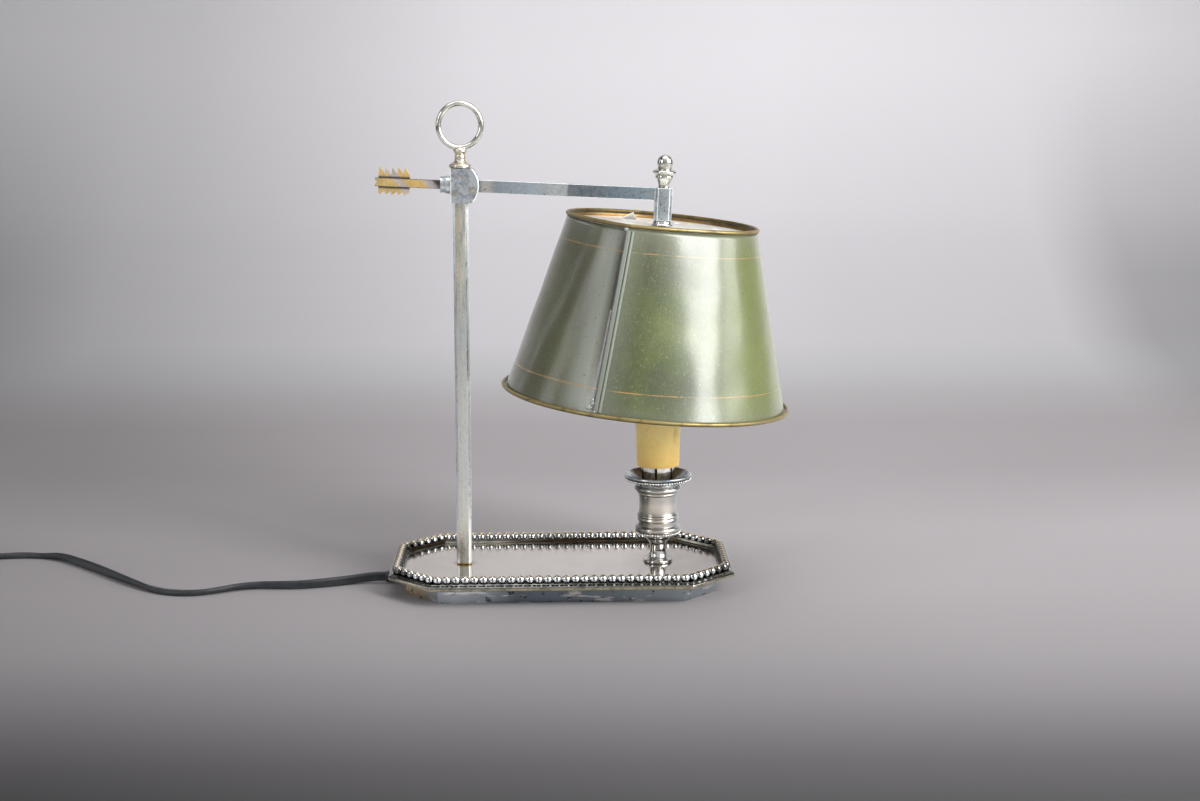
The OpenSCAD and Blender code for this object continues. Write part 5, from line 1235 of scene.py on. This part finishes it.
# each light's name, place, aim and size in metres, and its power in watts
SOFTBOXES = [
    ("tall window, right", (1.22, -0.975, 1.0), LAMP_MIDDLE, (0.5, 1.3), 35),
    ("side window, right", (1.6, -0.35, 0.9), LAMP_MIDDLE, (0.7, 1.1), 14),
    ("strip, left", (-1.28, -1.07, 0.95), LAMP_MIDDLE, (0.22, 1.1), 8),
    ("card, far left", (-1.6, 0.05, 0.7), LAMP_MIDDLE, (0.4, 1.2), 3),
    ("ceiling", (0.1, -0.1, 2.1), (0, 0.05, 0), (1.8, 1.4), 14),
]


def grey_paper():
    """Matt grey paper with painted light and shade: paler where it rises and in the middle, and a painted
    soft shadow before the lamp and to its left.
    """
    material, tree, bsdf = new_material("grey paper", Roughness=0.85, Specular_IOR_Level=0.2)
    place = add_node(tree, "TexCoord")
    parts = add_node(tree, "SeparateXYZ", links={"Vector": place.outputs["Object"]})
    depth = add_node(tree, "MapRange", {1: -1.1, 2: 1.1}, {0: parts.outputs["Y"]})
    near = add_node(tree, "ValToRGB", links={"Fac": depth.outputs[0]},
                    stops=[(0.0, "a9a6a8"), (0.2, "a09d9f"), (0.27, "7e7c7e"), (0.318, "434243"),
                           (0.345, "545254"), (0.39, "767376"), (0.42, "838082"), (0.49, "938f91"),
                           (0.565, "9b9799"), (0.615, "999597"), (0.665, "959193"), (0.725, "979395"),
                           (0.76, "a19ea0"), (0.79, "abaaac"), (0.84, "bab8bb"), (0.905, "bcbabd"),
                           (0.965, "c6c4c7")])
    side = add_node(tree, "MapRange", {1: -1.6, 2: 1.6}, {0: parts.outputs["X"]})
    left = add_node(tree, "ValToRGB", links={"Fac": side.outputs[0]},
                    stops=[(0.0, "d4d4d4"), (0.14, "c0c0c0"), (0.22, "9c9c9c"), (0.25, "a8a8a8"),
                           (0.28, "d0d0d0"), (0.36, "dcdcdc"), (0.47, "ffffff"), (0.585, "ffffff"),
                           (0.7, "eeeeee"), (0.78, "d4d4d4"), (1.0, "d4d4d4")])
    tone = add_node(tree, "Mix", {0: 1.0}, {6: near.outputs["Color"], 7: left.outputs["Color"]},
                    data_type="RGBA", blend_type="MULTIPLY")
    # painted shade where it begins to rise at either side, and a painted shadow in the near left corner
    rise = add_node(tree, "ValToRGB", links={"Fac": parts.outputs["Z"]},
                    stops=[(0.0, "000000"), (0.03, "cbcbcb"), (0.06, "ffffff"), (0.12, "ffffff"),
                           (0.2, "cbcbcb"), (0.4, "000000")])
    flank = add_node(tree, "ValToRGB", links={"Fac": side.outputs[0]},
                     stops=[(0.14, "484848"), (0.26, "ffffff"), (0.286, "ffffff"), (0.315, "cbcbcb"),
                            (0.335, "959595"), (0.36, "6c6c6c"), (0.53, "484848"), (0.6, "959595"),
                            (0.68, "959595"), (0.71, "ffffff"), (0.74, "ffffff"), (0.86, "484848")])
    dip = add_node(tree, "Math", links={0: rise.outputs["Color"], 1: flank.outputs["Color"]},
                   operation="MULTIPLY")
    front = add_node(tree, "MapRange", {1: -0.15, 2: -0.4}, {0: parts.outputs["Y"]})
    by_left = add_node(tree, "MapRange", {1: 0.05, 2: -0.28}, {0: parts.outputs["X"]})
    corner = add_node(tree, "Math", links={0: front.outputs[0], 1: by_left.outputs[0]},
                      operation="MULTIPLY")
    both = add_node(tree, "Math", links={0: dip.outputs[0], 1: corner.outputs[0]}, operation="ADD")
    kept = add_node(tree, "Math", {1: -0.4, 2: 1.0}, {0: both.outputs[0]}, operation="MULTIPLY_ADD")
    tone = add_node(tree, "Mix", {0: 1.0}, {6: tone.outputs[2], 7: kept.outputs[0]}, data_type="RGBA",
                    blend_type="MULTIPLY")
    # what the metal sees of it: pale before and behind the lamp, and a dark room beyond its two edges
    wide = add_node(tree, "ValToRGB", links={"Fac": side.outputs[0]},
                    stops=[(0.0, "5c5d5f"), (0.1, "8c8d8f"), (0.2, "b8b7b8"), (0.5, "cccacb"),
                           (0.8, "cccacb"), (0.92, "a0a0a2"), (1.0, "78797b")])
    seen = add_node(tree, "LightPath")
    colour = add_node(tree, "Mix", links={0: seen.outputs["Is Camera Ray"], 6: wide.outputs["Color"],
                                          7: tone.outputs[2]}, data_type="RGBA")
    tree.links.new(colour.outputs[2], bsdf.inputs["Base Color"])
    # from behind and from below, the paper isn't in the way
    face = add_node(tree, "NewGeometry")
    hidden = add_node(tree, "Math", links={0: face.outputs["Backfacing"], 1: seen.outputs["Is Camera Ray"]},
                      operation="MULTIPLY")
    clear = add_node(tree, "BsdfTransparent")
    through = add_node(tree, "MixShader", links={0: hidden.outputs[0], 1: bsdf.outputs["BSDF"],
                                                 2: clear.outputs["BSDF"]})
    output = next(node for node in tree.nodes if node.type == "OUTPUT_MATERIAL")
    tree.links.new(through.outputs["Shader"], output.inputs["Surface"])
    return material


def make_paper():
    """A sheet of pale grey paper that runs over the table and up behind it in one sweep."""
    mesh = bpy.data.meshes.new("paper")
    paper = bmesh.new()
    edge = [paper.verts.new((-PAPER_HALF, y, z)) for y, z in PAPER_SECTION]
    wire = [paper.edges.new(pair) for pair in zip(edge, edge[1:])]
    bmesh.ops.extrude_edge_only(paper, edges=wire)
    for vertex in paper.verts:
        if vertex not in edge:
            vertex.co.x = PAPER_HALF
    paper.normal_update()
    turned_away = [face for face in paper.faces if face.normal.z - face.normal.y < 0]
    bmesh.ops.reverse_faces(paper, faces=turned_away)
    paper.to_mesh(mesh)
    paper.free()
    sheet = bpy.data.objects.new("paper", mesh)
    bpy.context.scene.collection.objects.link(sheet)
    for polygon in mesh.polygons:
        polygon.use_smooth = True
    mesh.materials.append(grey_paper())


def softbox(name, at, aim, size, watts):
    """A soft rectangular light that faces what it is aimed at."""
    data = bpy.data.lights.new(name, "AREA")
    data.shape = "RECTANGLE"
    data.size, data.size_y = size
    data.energy = watts
    light = bpy.data.objects.new(name, data)
    bpy.context.scene.collection.objects.link(light)
    light.location = at
    light.rotation_euler = (Vector(aim) - Vector(at)).to_track_quat("-Z", "Y").to_euler()


def make_room():
    """The room round the table, as the metal sees it: pale behind the lens and darker to the left."""
    world = bpy.data.worlds.new("studio")
    world.use_nodes = True
    tree = world.node_tree
    tree.nodes.clear()
    way = add_node(tree, "TexCoord")
    parts = add_node(tree, "SeparateXYZ", links={"Vector": way.outputs["Generated"]})
    side = add_node(tree, "MapRange", {1: -1.0, 2: 1.0}, {0: parts.outputs["X"]})
    room = add_node(tree, "ValToRGB", links={"Fac": side.outputs[0]},
                    stops=[(0.0, "56595e"), (0.14, "66696e"), (0.3, "9c9ea2"), (0.42, "c4c5c8"),
                           (0.62, "cfcfd0"), (0.75, "d0d0d2"), (0.88, "cccccf"), (1.0, "bcbdc0")])
    seen = add_node(tree, "LightPath")
    strength = add_node(tree, "MapRange", {1: 0.0, 2: 1.0, 3: 0.62, 4: 1.0},
                        {0: seen.outputs["Is Glossy Ray"]})
    back = add_node(tree, "Background", links={"Color": room.outputs["Color"],
                                               "Strength": strength.outputs[0]})
    output = add_node(tree, "OutputWorld")
    tree.links.new(back.outputs["Background"], output.inputs["Surface"])
    bpy.context.scene.world = world


make_paper()
for box in SOFTBOXES:
    softbox(*box)
make_room()
bpy.context.scene.view_settings.view_transform = "Standard"
